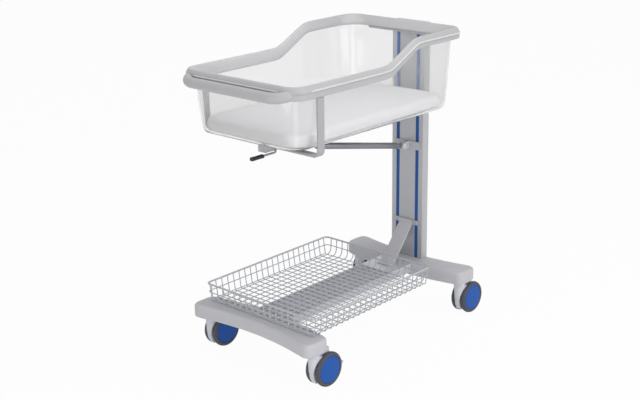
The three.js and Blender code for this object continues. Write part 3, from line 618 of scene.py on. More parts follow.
# Epoxy-coated wire: light grey, smooth, a little glossy.
coated_wire = surface("epoxy_coated_wire_grey", "#C2C5CA", 0.4, 2.0, 0.03, 60, 0.05, IOR=1.5)
# Satin paint on the gas spring's drawn tube: mid grey.
spring_paint = surface("satin_painted_drawn_tube_grey", "#8C8C90", 0.36, 1.2, 0.01, 40, 0.05, Metallic=0.4)
# Black vinyl dip on the lever grip: matt with a soft highlight.
black_vinyl = surface("dipped_vinyl_black", "#242426", 0.5, 1.4, 0.06, 20, 0.15, IOR=1.52)
# Thermoformed clear copolyester: clear and glossy, slightly wavy, with a painted highlight down each corner.
clear_sheet = surface("thermoformed_clear_copolyester", "#EFEFEF", 0.08, 40.0, 0.05, 200, 0.01,
                      IOR=1.2, Transmission_Weight=0.97, Coat_Weight=0.5, Coat_Roughness=0.06)
paint_corner_highlights(clear_sheet)
# Polyurethane-coated knit cover: matt white, with a fine dull grain and soft broad shades.
coated_knit = surface("polyurethane_coated_knit_white", "#E7E7E9", 0.7, 2.4, 0.05, 70, 0.02,
                      Sheen_Weight=0.15, Sheen_Roughness=0.4)

slot_finish = {
    "cast_base": powder_coat, "anodised_profile": anodised_upright, "rim_plastic": rim_skin,
    "blue_plastic": blue_strip, "steel": plated_steel, "wire": coated_wire, "clear_plastic": clear_sheet,
    "mattress_cover": coated_knit, "spring_paint": spring_paint, "grip_rubber": black_vinyl,
    "castor_plastic": housing_nylon, "tyre": tread_rubber,
}


# Tub frame

def softened(distance):
    """Zero before the bend, then the distance itself, with a soft turn between."""
    return (distance + np.hypot(distance, STEP_SOFT)) / 2


def ramp_share(y):
    """How far up the step a station lies, from 0 at the foot to 1 at the head."""
    return (softened(y - STEP_FOOT_Y) - softened(y - STEP_HEAD_Y)) / (STEP_HEAD_Y - STEP_FOOT_Y)


def plan_loop(corner_steps=14, side_step=8):
    """A rounded rectangle from above: each point's shares of four corner centres, and its way out."""
    shares, normals = [], []
    for i, length in enumerate((RIM_HEAD_Y - RIM_FOOT_Y, 2 * RIM_HALF_W) * 2):
        out = spokes(90 * i - 90, 90 * i, corner_steps + 1)
        on = np.concatenate((np.zeros(corner_steps + 1), np.linspace(0, 1, int(length / side_step))[1:-1]))
        share = np.zeros((len(on), 4))
        share[:, i] = 1 - on
        share[:, (i + 1) % 4] = on
        shares.append(share)
        normals.append(np.concatenate((out, np.repeat(out[-1:], len(on) - len(out), axis=0))))
    return np.concatenate(shares), np.concatenate(normals)


def plan_rings(out, corner_r):
    """Rounded rectangles from above, each `out` outside the rim's top line, with its own corners."""
    share, normal = plan_loop()
    x = RIM_HALF_W + out - corner_r
    foot = RIM_FOOT_Y - out + corner_r
    head = RIM_HEAD_Y + out - corner_r
    centres = np.stack((x, foot, x, head, -x, head, -x, foot), axis=1).reshape(-1, 4, 2)
    return np.einsum("pc,rca->rpa", share, centres) + corner_r[:, None, None] * normal


def rim_top(y):
    """The height of the rim's top line at each station."""
    return RIM_LOW_Z + (RIM_HIGH_Z - RIM_LOW_Z) * ramp_share(y)


# Sections of the rim and its bead, a row to a point: how far out, how far down, whether down counts from
# the lower edge, how far the bead stands proud, and the corner radius in plan
RIM_SECTION = np.array((
    (-8.4, 0, 1, 0, 63), (-9.5, -0.7, 1, 0, 61.5), (-10, -2.2, 1, 0, 61), (-9.9, -7, 1, 0, 61),
    (-8.8, 15.5, 0, 0, 58), (-7.6, 10.5, 0, 0, 51), (-6.4, 6, 0, 0, 43), (-5.8, 3.6, 0, 0, 38.5),
    (-5.2, 1.9, 0, 0, 35.5), (-4.2, 0.8, 0, 0, 35.8), (-2.8, 0.2, 0, 0, 37.2), (-1, 0, 0, 0, 39),
    (1.2, 0.1, 0, 0, 41.2), (3, 0.8, 0, 0, 43), (4.4, 2.2, 0, 0, 44.4), (6, 5, 0, 0, 46),
    (7.6, 8, 0, 0, 47.6), (9, 10.8, 0, 0, 49), (9.6, 12.4, 0, 0, 49.6), (9.8, 14, 0, 0, 49.8),
    (9.6, 16.4, 0, 0, 49.6), (8.4, 17.2, 0, 0, 48.4), (8, 18.4, 0, 0, 48), (8.6, 19.6, 0, 0, 48.6),
    (9.8, 20.4, 0, 0, 49.8), (10, -4, 1, 0, 50), (9.7, -1.6, 1, 0, 49.7), (8.9, -0.4, 1, 0, 48.9),
    (7.8, 0, 1, 0, 47.8), (2.4, 0, 1, 0, 82.4), (2.4, 22, 0, 0, 82.4), (-2.4, 22, 0, 0, 77.6),
    (-2.4, 0, 1, 0, 77.6),
))
BEAD_SECTION = np.array((
    (7, 12, 0, 1.5, 47), (8, 12.1, 0, 2.2, 48), (8.3, 12.6, 0, 2.8, 48.3), (8.5, 13.6, 0, 3.3, 48.5),
    (8.5, 14.6, 0, 3.4, 48.5), (8.5, 15.6, 0, 3.2, 48.5), (8.3, 16.4, 0, 2.6, 48.3), (8, 16.8, 0, 2, 48),
    (7, 16.9, 0, 1.5, 47),
))


def rim(section):
    """A section carried round the top line: it follows the step, and the bead sinks in at the foot."""
    plan = plan_rings(section[:, 0], section[:, 4])
    _, normal = plan_loop()
    beside = plan[..., 1] - (RIM_FOOT_Y + RIM_CORNER_R)
    across = RIM_HALF_W - RIM_CORNER_R - np.abs(plan[..., 0])
    bead = section[:, 3:4] * np.clip(np.maximum(beside, across) / BEAD_FADE, 0, 1)
    under = BEAD_DROP + SKIRT_LOW + (SKIRT_HIGH - SKIRT_LOW) * ramp_share(plan[..., 1])
    height = rim_top(plan[..., 1]) - section[:, 1:2] - section[:, 2:3] * under
    return looped(np.concatenate((plan + bead[..., None] * normal, height[..., None]), axis=2))


def tub_side(inset, floor_z, floor_r):
    """One face of the tub, from its edge down: (out, share of the rim's own height, height) for each row."""
    edge = TUB_WALL / 2 - inset
    low = edge - TUB_TAPER
    wall = np.linspace(0, 1, TUB_ROWS)
    bend = 1 - spokes(0, 90, TUB_ROWS)[1:]
    lip = np.array(((edge, 1, -TUB_EDGE_DROP), (edge, 1, TUB_LIP - TUB_GROOVE_DROP)))
    side = np.column_stack((
        edge - TUB_TAPER * wall, 1 - wall,
        -TUB_GROOVE_DROP * (1 - wall) + (TUB_FLOOR_Z + TUB_FLOOR_R) * wall,
    ))
    foot = np.column_stack((low - floor_r * bend[:, 0], np.zeros(len(bend)), floor_z + floor_r * bend[:, 1]))
    return np.concatenate((lip, side, foot))


def tub():
    """Rounded rectangles that follow the rim at the edge, draw in down the walls and round into the floor."""
    outer = tub_side(0, TUB_FLOOR_Z, TUB_FLOOR_R)
    inner = tub_side(TUB_WALL, TUB_FLOOR_Z + TUB_WALL, TUB_FLOOR_R - TUB_WALL)
    rows = np.concatenate((outer[::-1], inner))
    plan = plan_rings(rows[:, 0], TUB_CORNER_R + rows[:, 0])
    height = rows[:, 1:2] * rim_top(plan[..., 1]) + rows[:, 2:3]
    return capped(np.concatenate((plan, height[..., None]), axis=2))


def push_handle():
    """A round bar across the foot whose ends turn back and rise into the rim, with a thin web to the rim."""
    straight = RIM_HALF_W - RIM_CORNER_R - HANDLE_SETBACK
    share = np.linspace(0, 1, HANDLE_ROWS)
    cos, sin = spokes(0, 90, HANDLE_ROWS).T
    y = RIM_FOOT_Y - HANDLE_OUT
    z = RIM_LOW_Z - HANDLE_DROP
    bend = np.column_stack((
        straight + HANDLE_BEND_R * sin, y + HANDLE_BEND_R * (1 - cos), z + HANDLE_RISE * share ** 2,
    ))
    bar = np.concatenate((bend[::-1] * (-1, 1, 1), bend))
    low = z + HANDLE_WEB_UP
    web = box(-straight, straight, y, RIM_FOOT_Y - RIM_OUT + HANDLE_WEB_LAP, low, low + HANDLE_WEB_T)
    return [swept(bar, circle(HANDLE_D / 2, 28), (0, 0, 1)), web]


def foot_strap():
    """A rounded flat section carried round a U: down from the rim, under the tub and up again."""
    half = RIM_HALF_W + RIM_OUT - STRAP_T / 2
    low = STRAP_TOP - STRAP_T / 2
    top = RIM_LOW_Z - BEAD_DROP - SKIRT_LOW - FIT
    corners = ((half, STRAP_Y, top), (half, STRAP_Y, low), (-half, STRAP_Y, low), (-half, STRAP_Y, top))
    path = filleted(corners, STRAP_BEND_R - STRAP_T / 2, 10)
    section = rounded_rectangle(-STRAP_T / 2, -STRAP_W / 2, STRAP_T / 2, STRAP_W / 2, STRAP_EDGE_R)
    return swept(path, section, (0, 1, 0))


def hinge_bracket():
    """A plate behind the rim with an ear at each side of the column, seen from above and pushed up."""
    face = RIM_HEAD_Y + RIM_OUT + FIT
    back = face + BRACKET_T
    inner = PROFILE_W / 2 + EAR_GAP
    outer = inner + EAR_T
    tip = HINGE_Y + EAR_REACH
    half = BRACKET_W / 2
    side = np.array(((half, face), (half, back), (outer, back), (outer, tip), (inner, tip), (inner, back)))
    plan = np.concatenate((side, side[::-1] * (-1, 1)))
    return slab(plan, "xyz", HINGE_Z - BRACKET_DROP, HINGE_Z + BRACKET_RISE)


def hinge_bolt(side):
    """A washer and a hexagon head on the outside of an ear, with a shank through it."""
    seat = PROFILE_W / 2 + EAR_GAP + EAR_T + EAR_GAP
    centre = (side * seat, HINGE_Y, HINGE_Z)
    out = (side, 0, 0)
    hexagon = circle(BOLT_HEX_R, 6) + (HINGE_Y, HINGE_Z)
    head = slab(hexagon, "yzx", side * (seat + LAP), side * (seat + BOLT_HEAD_T))
    return [turned(WASHER, centre, out, 32), head, turned(BOLT_SHANK, centre, out, 20)]


def release_block():
    """Two cheeks and a short roof under the strap, with a cover across the front."""
    inner = BLOCK_GAP / 2
    outer = inner + BLOCK_CHEEK
    foot = BLOCK_FOOT_Y
    bottom = BLOCK_TOP - BLOCK_H
    right = box(inner, outer, foot, BLOCK_HEAD_Y, bottom, BLOCK_TOP)
    left = box(-outer, -inner, foot, BLOCK_HEAD_Y, bottom, BLOCK_TOP)
    across = inner + LAP
    top = BLOCK_TOP - PROUD
    roof = box(-across, across, foot + PROUD, foot + BLOCK_ROOF_L, BLOCK_TOP - BLOCK_ROOF, top)
    side = outer + PROUD
    cover = box(-side, side, foot - BLOCK_FRONT_T, foot + LAP, bottom - PROUD, top)
    return [right, left, roof, cover]


def lever_rod():
    """A round hub on the pivot and a bent round rod that runs forward to the grip."""
    x, y, z = LEVER_AT
    grip_root = y - LEVER_REACH
    grip_z = z - LEVER_DROP
    corners = (
        (x, y, z - LEVER_HUB_R + LAP), (x, y - LEVER_BEND_OUT, grip_z), (x, grip_root - GRIP_LAP, grip_z),
    )
    rod = swept(filleted(corners, LEVER_BEND_R, 8), circle(LEVER_ROD_D / 2, 16), (1, 0, 0))
    return [rod, drum(LEVER_HUB_R, LEVER_HUB_W, LEVER_HUB_EDGE, LEVER_AT, 28)]


def lever_grip():
    """Rounded rectangles along the rod: a slight waist, and both ends drawn in over a short rounding."""
    cos, sin = spokes(0, 90, 6).T
    root = GRIP_END * (1 - cos)
    shaft = np.linspace(2 * GRIP_END, 1 - 2 * GRIP_END, GRIP_ROWS)
    tip = 1 - GRIP_END * (1 - sin)
    share = np.concatenate((root, shaft, tip))
    inward = np.concatenate((1 - sin, np.zeros(GRIP_ROWS), 1 - cos))
    size = 1 - GRIP_DRAW * inward - GRIP_WAIST * np.sin(np.pi * share)
    ring = rounded_rectangle(-GRIP_W / 2, -GRIP_T / 2, GRIP_W / 2, GRIP_T / 2, GRIP_EDGE_R, 6)
    x, y, z = LEVER_AT
    points = np.empty((len(share), len(ring), 3))
    points[:, :, 0] = x + size[:, None] * ring[:, 0]
    points[:, :, 1] = (y - LEVER_REACH - GRIP_L * share)[:, None]
    points[:, :, 2] = z - LEVER_DROP + size[:, None] * ring[:, 1]
    return capped(points)


def pad_start():
    """The mattress before it swells: a rounded rectangle with rounded edges and a flat base."""
    half = RIM_HALF_W - PAD_INSET - PAD_SHRINK
    foot = RIM_FOOT_Y + PAD_INSET + PAD_SHRINK
    head = RIM_HEAD_Y - PAD_INSET - PAD_SHRINK
    top = PAD_LOW + PAD_T - PAD_SHRINK
    outline = rounded_rectangle(-half, foot, half, head, PAD_CORNER_R, 10)
    return drawn_in(outline, rounded_rows(PAD_LOW, PAD_EDGE_R, top, PAD_EDGE_R, 6))


def mattress():
    """Cloth swollen by pressure: no point goes further than the cap or below the base."""
    pad = put("foam_mattress", [pad_start()], coated_knit, "mattress", ["mattress"])
    remesh = pad.modifiers.new("even", "REMESH")
    remesh.mode = "VOXEL"
    remesh.voxel_size = PAD_VOXEL * MM
    remesh.use_smooth_shade = True
    pad.data = bpy.data.meshes.new_from_object(pad.evaluated_get(bpy.context.evaluated_depsgraph_get()))
    pad.modifiers.clear()
    still = np.empty(len(pad.data.vertices) * 3)
    pad.data.vertices.foreach_get("co", still)
    cover = pad.modifiers.new("cover", "CLOTH")
    cover.settings.use_pressure = True
    cover.settings.uniform_pressure_force = PAD_PRESSURE
    cover.settings.effector_weights.gravity = 0
    for step in range(1, PAD_FRAMES + 1):
        bpy.context.scene.frame_set(step)
    swollen = pad.evaluated_get(bpy.context.evaluated_depsgraph_get()).data
    moved = np.empty_like(still)
    swollen.vertices.foreach_get("co", moved)
    pad.modifiers.clear()
    bpy.context.scene.frame_set(1)
    step = (moved - still).reshape(-1, 3)
    length = np.linalg.norm(step, axis=1, keepdims=True)
    step *= np.minimum(1, PAD_CAP * MM / np.maximum(length, TINY))
    place = still.reshape(-1, 3) + step
    place[:, 2] = np.maximum(place[:, 2], PAD_LOW * MM)
    pad.data.vertices.foreach_set("co", place.ravel())
    pad.data.shade_smooth()
    soft = pad.modifiers.new("soft", "SUBSURF")
    soft.levels = 1
    soft.render_levels = 1


def tub_frame():
    """Everything that tilts on the column."""
    put("rim_moulding", [rim(RIM_SECTION)], rim_skin, "tub_frame", ["rim"], crease=50)
    put("rim_bead", [rim(BEAD_SECTION)], bead_highlight_skin, "tub_frame", crease=60)
    clear = put("clear_tub", [tub()], clear_sheet, "tub_frame", ["tub"], crease=50)
    # The lamps shine through the clear sheet
    clear.visible_shadow = False
    put("handle_bar", push_handle(), rim_skin, "tub_frame", ["push_handle"], crease=60)
    strap = put("strap_bar", [foot_strap()], grey_coat, "tub_frame", ["foot_strap"])
    # The strap's hard shadow stays off the mattress
    strap.visible_shadow = False
    put("hinge_plate", [hinge_bracket()], plate_coat_painted_light, "tub_frame", ["hinge_bracket"], bevel=0.8)
    put("lever_block", release_block(), powder_coat, "tub_frame", ["release_block"], bevel=0.8)
    mattress()


# Gas spring and lever

def gas_spring():
    """Turned along the line between its eyes: eye, neck, crimped tube, then the rod and its eye."""
    start = np.array(SPRING_FROM, dtype=float)
    line = np.array(SPRING_TO) - start
    length = np.linalg.norm(line)
    end = SPRING_NECK_L + SPRING_TUBE_L
    r = SPRING_D / 2
    bore = ROD_BORE_D / 2
    tube = turned((
        (0, 0), (SPRING_NECK_R, 0), (SPRING_NECK_R, SPRING_NECK_L - SPRING_NECK_FLARE),
        *((r - inset, SPRING_NECK_L + on) for inset, on in SPRING_SHOULDER),
        *((r - inset, end - back) for inset, back in SPRING_CRIMP),
        (bore, end), (bore, end - ROD_BORE_L), (0, end - ROD_BORE_L),
    ), start, line, 40)
    eye = drum(EYE_R, EYE_W, EYE_EDGE, start, 32)
    inner = end - ROD_IN
    rod = turned(((0, inner), (ROD_D / 2, inner), (ROD_D / 2, length), (0, length)), start, line, 24)
    put("spring_tube", [tube, eye], spring_paint, "spring_cylinder", ["spring_cylinder"])
    put("spring_piston_rod", [rod, shifted(eye, line)], plated_steel, "spring_rod", ["spring_rod"])


def release_lever():
    """The rod with its hub, and the grip on its end."""
    put("lever_bar", lever_rod(), plated_steel, "release_lever", ["lever_rod"])
    put("lever_handle", [lever_grip()], black_vinyl, "release_lever", ["lever_grip"],
        crease=60)


# Base

def profile_outline():
    """The extruded profile's outline: two lipped slots in its front, then its four rounded corners."""
    half = PROFILE_W / 2
    slots = []
    for x in (-SLOT_X, SLOT_X):
        for side in (-1, 1):
            edge = x + side * SLOT_W / 2
            mouth = ((edge + side * SLOT_LIP, 0), (edge, SLOT_LIP), (edge, SLOT_DEPTH))
            slots.extend(mouth if side < 0 else mouth[::-1])
    corners = rounded_rectangle(-half, 0, half, PROFILE_T, PROFILE_R, PROFILE_STEPS)
    return np.concatenate((slots, np.roll(corners, PROFILE_STEPS + 1, axis=0)))


def column():
    """The profile pushed up from the leg's top, its slots towards the tub."""
    outline = profile_outline() + (0, COLUMN_FRONT_Y)
    return slab(outline, "xyz", LEG_TOP + FIT, COLUMN_TOP)


def spine():
    """A plain rounded bar pushed from leg to leg."""
    outline = rounded_rectangle(-PROFILE_W / 2, LEG_TOP - PROFILE_T, PROFILE_W / 2, LEG_TOP, PROFILE_R)
    return slab(outline, "xzy", SPINE_FOOT_Y, SPINE_HEAD_Y)


def column_cap():
    """A flat moulded cap with rounded edges, each row drawn in a little more."""
    back = COLUMN_FRONT_Y + PROFILE_T
    outline = rounded_rectangle(-PROFILE_W / 2, COLUMN_FRONT_Y, PROFILE_W / 2, back, PROFILE_R)
    low = COLUMN_TOP + FIT
    foot = ((CAP_FOOT_EDGE, low), (0, low + CAP_FOOT_EDGE))
    return drawn_in(outline, (*foot, *((inset, low + CAP_T - drop) for inset, drop in CAP_TOP_EDGE)))


def leg_outline(y, bow):
    """The leg from above: two bowed sides, and quarter-round ends, smoothed where they meet."""
    half = LEG_HALF_L
    foot = y - LEG_DEPTH / 2
    head = y + LEG_DEPTH / 2
    r = LEG_END_R
    curves = (
        ((r - half, foot), (0, foot + 2 * bow), (half - r, foot), 40),
        ((half - r, foot), (half, foot), (half, foot + r), 9),
        ((half, foot + r), (half, y), (half, head - r), 6),
        ((half, head - r), (half, head), (half - r, head), 9),
        ((half - r, head), (0, head + 2 * bow), (r - half, head), 40),
        ((r - half, head), (-half, head), (-half, head - r), 9),
        ((-half, head - r), (-half, y), (-half, foot + r), 6),
        ((-half, foot + r), (-half, foot), (r - half, foot), 9),
    )
    parts = []
    for a, b, c, count in curves:
        t = np.arange(count)[:, None] / count
        parts.append((1 - t) ** 2 * np.array(a) + 2 * t * (1 - t) * np.array(b) + t ** 2 * np.array(c))
    outline = np.concatenate(parts)
    for _ in range(LEG_SMOOTHING):
        outline = (np.roll(outline, 1, axis=0) + 2 * outline + np.roll(outline, -1, axis=0)) / 4
    return outline


def leg(y, bow):
    """The leg's outline drawn in round its upper and lower edges."""
    rows = rounded_rows(LEG_TOP - LEG_H, LEG_FOOT_R, LEG_TOP, LEG_EDGE_R, 7)
    return drawn_in(leg_outline(y, bow), rows)


def strut():
    """A bent plate seen from the side: foot on the spine, slope, flange on the column, with rounded bends."""
    back = COLUMN_FRONT_Y - FIT - CLAMP_T - FIT
    low = LEG_TOP + FIT + STRUT_T / 2
    middle = back - STRUT_T / 2
    heel = STRUT_FOOT_Y + STRUT_FOOT_L
    flange = STRUT_TOP_Z - STRUT_FLANGE_H
    corners = ((0, STRUT_FOOT_Y, low), (0, heel, low), (0, middle, flange), (0, middle, STRUT_TOP_Z))
    section = rounded_rectangle(-STRUT_T / 2, -STRUT_W / 2, STRUT_T / 2, STRUT_W / 2, STRUT_EDGE_R)
    return swept(filleted(corners, STRUT_BEND_R, 6), section, (1, 0, 0))


def spring_bracket():
    """A flat plate across the column with two rounded ears for the pin."""
    back = COLUMN_FRONT_Y - FIT
    _, nose, z = SPRING_FROM
    outline = rounded_rectangle(-PLATE_W / 2, z - PLATE_H / 2, PLATE_W / 2, z + PLATE_H / 2, PLATE_R)
    plate = slab(outline, "xzy", back - PLATE_T, back)
    r = CLEVIS_R
    arc = r * spokes(90, 270, 17) + (nose, z)
    ear = np.concatenate((arc, ((back - LAP, z - r), (back - LAP, z + r))))
    inner = EYE_W / 2 + CLEVIS_GAP
    return [plate, slab(ear, "yzx", inner, inner + CLEVIS_T), slab(ear, "yzx", -inner - CLEVIS_T, -inner)]


def spring_pin():
    """Turned along X: a shank, and a domed head with a socket in its face."""
    seat = EYE_W / 2 + CLEVIS_GAP + CLEVIS_T + FIT
    r = SPRING_PIN_D / 2
    return turned((
        (0, -seat), (r, -seat), (r, seat),
        *((radius, seat + rise) for radius, rise in PIN_HEAD + PIN_SOCKET),
    ), SPRING_FROM, (1, 0, 0), 40)


def clamp_bar():
    """A flat bar across the column, with a pan-head screw near each end."""
    front = COLUMN_FRONT_Y - FIT - CLAMP_T
    z = STRUT_TOP_Z - STRUT_FLANGE_H / 2
    low = STRUT_TOP_Z - STRUT_FLANGE_H
    outline = rounded_rectangle(-CLAMP_W / 2, low, CLAMP_W / 2, STRUT_TOP_Z, CLAMP_R)
    bar = slab(outline, "xzy", front, front + CLAMP_T)
    screw = turned(SCREW_PROFILE, (0, front, z), (0, -1, 0), 24)
    return [bar, repeated(screw, ((SCREW_X, 0, 0), (-SCREW_X, 0, 0)))]


def basket():
    """Wires bent up into flared U shapes, those across outside those along, with a middle and a top ring."""
    r = WIRE_D / 2
    half = BASKET_HALF_W - r
    foot = BASKET_FOOT_Y + r
    head = BASKET_HEAD_Y - r
    floor_half = half - BASKET_FLARE
    floor_foot = foot + BASKET_END_FLARE
    floor_head = head - BASKET_END_FLARE
    low = LEG_TOP + FIT + r
    upper = low + WIRE_D
    top = BASKET_TOP - FRAME_WIRE_D / 2
    cross_route = filleted(((half, 0, top), (floor_half, 0, low), (-floor_half, 0, low), (-half, 0, top)),
                           BASKET_SIDE_BEND_R, 4)
    long_route = filleted(((0, foot, top), (0, floor_foot, upper), (0, floor_head, upper), (0, head, top)),
                          BASKET_END_BEND_R, 6)
    ring = circle(r, 8)
    count_x = round(2 * (floor_half - BASKET_CORNER_R) / BASKET_PITCH)
    count_y = round((head - foot - 2 * BASKET_CORNER_R) / BASKET_PITCH)
    x = np.linspace(BASKET_CORNER_R - floor_half, floor_half - BASKET_CORNER_R, count_x + 1)
    y = np.linspace(foot + BASKET_CORNER_R, head - BASKET_CORNER_R, count_y + 1)
    along = repeated(swept(long_route, ring, (1, 0, 0)), np.column_stack((x, 0 * x, 0 * x)))
    across = repeated(swept(cross_route, ring, (0, 1, 0)), np.column_stack((0 * y, y, 0 * y)))
    edge_foot = (0, floor_foot + BASKET_END_BEND_R, upper)
    edge_head = (0, floor_head - BASKET_END_BEND_R, upper)
    edge = np.linspace(edge_foot, edge_head, 8)
    beside = floor_half - WIRE_D
    edges = repeated(swept(edge, ring, (1, 0, 0)), ((beside, 0, 0), (-beside, 0, 0)))
    frame_wire = basket_ring(FRAME_WIRE_D / 2 - r, FRAME_WIRE_D / 2 - r, top, FRAME_WIRE_D / 2)
    share = (top - BASKET_MID) / (top - low)
    middle_wire = basket_ring(share * BASKET_FLARE, share * BASKET_END_FLARE, BASKET_MID, r)
    return [along, across, edges, frame_wire, middle_wire]


def basket_ring(side_inset, end_inset, z, r):
    """A round wire bent into a rounded rectangle, drawn in from the basket's top line."""
    half = BASKET_HALF_W - WIRE_D / 2 - side_inset
    foot = BASKET_FOOT_Y + WIRE_D / 2 + end_inset
    head = BASKET_HEAD_Y - WIRE_D / 2 - end_inset
    loop = rounded_rectangle(-half, foot, half, head, BASKET_CORNER_R, 8)
    path = np.column_stack((loop, np.full(len(loop), z)))
    return swept(path, circle(r, 14), (0, 0, 1), closed=True)


def base():
    """Everything that stands still."""
    for end, y, bow in (("front", FRONT_LEG_Y, LEG_BOW), ("rear", REAR_LEG_Y, -LEG_BOW)):
        put(f"{end}_leg_casting", [leg(y, bow)], powder_coat, "base", [f"{end}_leg"], crease=50)
    put("spine_extrusion", [spine()], anodised_flat_painted_light, "base", ["spine"])
    put("column_extrusion", [column()], anodised_upright, "base", ["column"])
    put("column_end_cap", [column_cap()], rim_skin, "base", ["column_cap"], crease=50)
    put("strut_plate", [strut()], powder_coat, "base", ["gusset_strut"])
    put("strut_clamp", clamp_bar(), anodised_upright, "base", ["gusset_clamp"])
    put("spring_clevis", spring_bracket(), powder_coat, "base", ["spring_bracket"], bevel=0.6)
    put("spring_pivot_pin", [spring_pin()], bright_zinc, "base", ["spring_pin"])
    for label, side in (("right", 1), ("left", -1)):
        put(f"hinge_screw_{label}", hinge_bolt(side), plated_steel, "base", [f"hinge_bolt_{label}"])
    basket_nodes = ["basket_floor", "basket_left", "basket_right", "basket_foot_end", "basket_head_end"]
    put("wire_basket", basket(), coated_wire, "base", basket_nodes, crease=60)


# Castors

def tyre():
    """A half-ellipse tread on a flat-sided ring, turned about X, with the middle of the wheel at zero."""
    half = WHEEL_W / 2
    tread = spokes(-90, 90, 17) * (SHOULDER, half) + (WHEEL_R - SHOULDER, 0)
    wall = np.array([(HUB_R + out, half - inset) for out, inset in TYRE_WALL])
    profile = np.concatenate((wall[::-1] * (1, -1), tread, wall))
    return turned(profile, (0, 0, 0), (1, 0, 0), 64, ring=True)


def hub(side):
    """A shallow domed cover with a rolled edge on the outside, turned about X."""
    face = WHEEL_W / 2 - HUB_IN
    rim_r = HUB_R - FIT
    return turned((
        (0, -face), (rim_r - HUB_CHAMFER, -face), (rim_r, HUB_CHAMFER - face),
        (rim_r, face - HUB_SEAT), (rim_r - HUB_LIP, face - HUB_LIP),
        *((radius, face + rise) for radius, rise in HUB_FACE),
    ), (0, 0, 0), (side, 0, 0), 64)


def castor_web():
    """The housing between the wheels, seen from the side: a plate round the front of the wheel."""
    outline = np.concatenate((
        ((AXLE_BOSS_R, CASTOR_TOP),),
        WEB_TOP_R * spokes(90, 180, 7) + (WEB_TOP_R - WEB_R, CASTOR_TOP - WEB_TOP_R),
        WEB_R * spokes(180, 180 + WEB_SWEEP, 15),
        AXLE_BOSS_R * spokes(AXLE_BOSS_FROM, 360, 9),
    ))
    return slab(outline, "yzx", -WEB_HALF, WEB_HALF)


def castor_turret():
    """The swivel housing on top, flared where it meets the leg, turned about the stem."""
    return turned((
        (0, TURRET_LOW), (TURRET_R - TURRET_EDGE, TURRET_LOW), (TURRET_R, TURRET_LOW + TURRET_EDGE),
        *((TURRET_R + out, CASTOR_TOP - down) for out, down in TURRET_FLARE), (0, CASTOR_TOP),
    ), (0, -CASTOR_TRAIL, 0), (0, 0, 1), 40)


def castor_cowl():
    """The front of the housing, level by level: as wide as the web at the axle, as the turret above."""
    height = np.linspace(0, TURRET_LOW, 16)[:, None]
    share = height / height[-1]
    low_half = WEB_HALF + PROUD
    half = low_half + (TURRET_R - low_half) * share
    back = -np.sqrt(WEB_R ** 2 - height ** 2)
    middle = np.minimum(back, -WEB_R + (WEB_R - CASTOR_TRAIL) * share) - COWL_SIDE
    front = -WEB_R - COWL_LIP - (CASTOR_TRAIL + TURRET_R - WEB_R - COWL_LIP) * share
    cos, sin = spokes(-90, 90, 13).T
    x = np.hstack((half * sin, half, -half))
    y = np.hstack((middle - (middle - front) * cos, back, back))
    return capped(np.stack((x, y, np.broadcast_to(height, x.shape)), axis=2))


def brake_pedal():
    """An arm and a cross tab with rounded corners, seen from above."""
    low, high = -PEDAL_T / 2, PEDAL_T / 2
    inner = PEDAL_REACH - PEDAL_TAB_L
    arm = box(-PEDAL_ARM_W / 2, PEDAL_ARM_W / 2, PEDAL_ROOT, inner + LAP, low, high)
    tab = rounded_rectangle(-PEDAL_TAB_W / 2, inner, PEDAL_TAB_W / 2, PEDAL_REACH, PEDAL_TAB_R)
    return [arm, slab(tab, "xyz", low, high)]


def castor(name, x, stem_y, braked):
    """One twin-wheel castor, set at its axle."""
    axle = np.array((x, stem_y + CASTOR_TRAIL, WHEEL_R))
    housing = [shifted(shell, axle) for shell in (castor_web(), castor_turret(), castor_cowl())]
    put(f"{name}_fork", housing, housing_nylon, name, [f"{name}_housing"], bevel=1.5)
    for label, side in (("left", -1), ("right", 1)):
        middle = axle + (side * WHEEL_PITCH / 2, 0, 0)
        wheel = f"{name}_{label}"
        body = f"{wheel}_wheel"
        put(f"{wheel}_tread", [shifted(tyre(), middle)], tread_rubber, body, [f"{wheel}_tyre"])
        put(f"{wheel}_cover", [shifted(hub(side), middle)], blue_cover, body,
            [f"{wheel}_hub"], crease=25)
    if braked:
        pedal = [shifted(shell, axle) for shell in brake_pedal()]
        put(f"{name}_brake_tab", pedal, housing_nylon, f"{name}_pedal",
            [f"{name}_brake_pedal"], bevel=1)


def castors():
    """Two castors under each leg; the front pair has brakes."""
    for end, stem_y, braked in (("front", FRONT_STEM_Y, True), ("rear", FRONT_STEM_Y + WHEELBASE, False)):
        for label, side in (("left", -1), ("right", 1)):
            castor(f"{end}_{label}_castor", side * CASTOR_X, stem_y, braked)


# Floor, light and camera

def shown_white(tree):
    """1 for a ray that shows the background, seen, mirrored or let through, with no matt bounce before."""
    rays = node(tree, "ShaderNodeLightPath").outputs
    seen = maths(tree, "MAXIMUM", rays["Is Camera Ray"], rays["Is Glossy Ray"])
    through = maths(tree, "MAXIMUM", seen, rays["Is Transmission Ray"])
    before = maths(tree, "LESS_THAN", rays["Diffuse Depth"], 1)
    return maths(tree, "MULTIPLY", through, before)


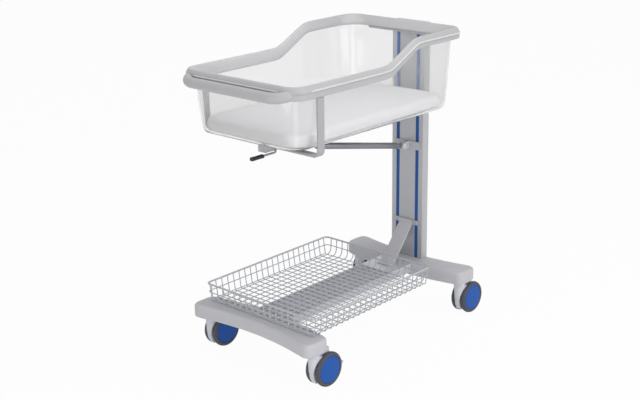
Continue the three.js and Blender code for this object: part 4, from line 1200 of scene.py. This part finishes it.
def studio_floor():
    """A pale matt floor that the camera sees as white."""
    floor_mesh = bpy.data.meshes.new("floor")
    corners = [(x * FLOOR_HALF, y * FLOOR_HALF, 0) for x, y in ((-1, -1), (1, -1), (1, 1), (-1, 1))]
    floor_mesh.from_pydata(corners, [], [(0, 1, 2, 3)])
    floor = bpy.data.objects.new("floor", floor_mesh)
    bpy.context.scene.collection.objects.link(floor)
    pale = bpy.data.materials.new("pale_studio_floor")
    pale.use_nodes = True
    tree = pale.node_tree
    tree.nodes.clear()
    share = maths(tree, "MULTIPLY", shown_white(tree), FLOOR_GLOW)
    matt = node(tree, "ShaderNodeBsdfDiffuse", {"Color": FLOOR_TONE})
    glow = node(tree, "ShaderNodeEmission", {"Color": WHITE, "Strength": 1.0})
    both = node(tree, "ShaderNodeMixShader", {0: share, 1: matt.outputs[0], 2: glow.outputs[0]})
    node(tree, "ShaderNodeOutputMaterial", {"Surface": both.outputs[0]})
    floor_mesh.materials.append(pale)


def studio_world():
    """White for the camera, soft even light for the object."""
    world = bpy.data.worlds.new("studio")
    bpy.context.scene.world = world
    world.use_nodes = True
    tree = world.node_tree
    tree.nodes.clear()
    light = node(tree, "ShaderNodeMapRange", {"Value": shown_white(tree), "To Min": SKY_LIGHT, "To Max": 1.0})
    sky = node(tree, "ShaderNodeBackground", {"Color": WHITE, "Strength": light.outputs[0]})
    node(tree, "ShaderNodeOutputWorld", {"Surface": sky.outputs[0]})


def studio_lamps():
    """Square lamps that the camera does not see."""
    for name, place, aim, size, power in LAMPS:
        lamp = bpy.data.lights.new(name, "AREA")
        lamp.size = size
        lamp.energy = power
        made = bpy.data.objects.new(name, lamp)
        made.location = place
        made.visible_camera = False
        made.rotation_euler = (Vector(aim) - Vector(place)).to_track_quat("-Z", "Y").to_euler()
        bpy.context.scene.collection.objects.link(made)


def camera():
    """A camera that looks back along its own bearing, turned a little about its axis."""
    a, e, roll = (math.radians(v) for v in (CAMERA_AZIMUTH, CAMERA_ELEVATION, CAMERA_ROLL))
    back = Vector((math.sin(a) * math.cos(e), -math.cos(a) * math.cos(e), math.sin(e)))
    right = Vector((math.cos(a), math.sin(a), 0))
    up = back.cross(right)
    x = math.cos(roll) * right + math.sin(roll) * up
    y = math.cos(roll) * up - math.sin(roll) * right
    lens = bpy.data.cameras.new("camera")
    lens.lens = CAMERA_LENS
    lens.sensor_fit = "HORIZONTAL"
    lens.sensor_width = CAMERA_SENSOR
    made = bpy.data.objects.new("camera", lens)
    made.matrix_world = Matrix.Translation(CAMERA_AT) @ Matrix((x, y, back)).transposed().to_4x4()
    bpy.context.scene.collection.objects.link(made)
    bpy.context.scene.camera = made


def finish_cad_nodes():
    """Every CAD node that still shows gets the finish of its slot."""
    node_slot = {part["node"]: part["material_slot"] for part in frame["record"]["subparts"]}
    for name, shown in frame["nodes"].items():
        shown.data.materials.clear()
        shown.data.materials.append(slot_finish[node_slot[name]])


camera()
finish_cad_nodes()
tub_frame()
gas_spring()
release_lever()
base()
castors()
studio_floor()
studio_world()
studio_lamps()
bpy.context.scene.view_settings.view_transform = "Standard"
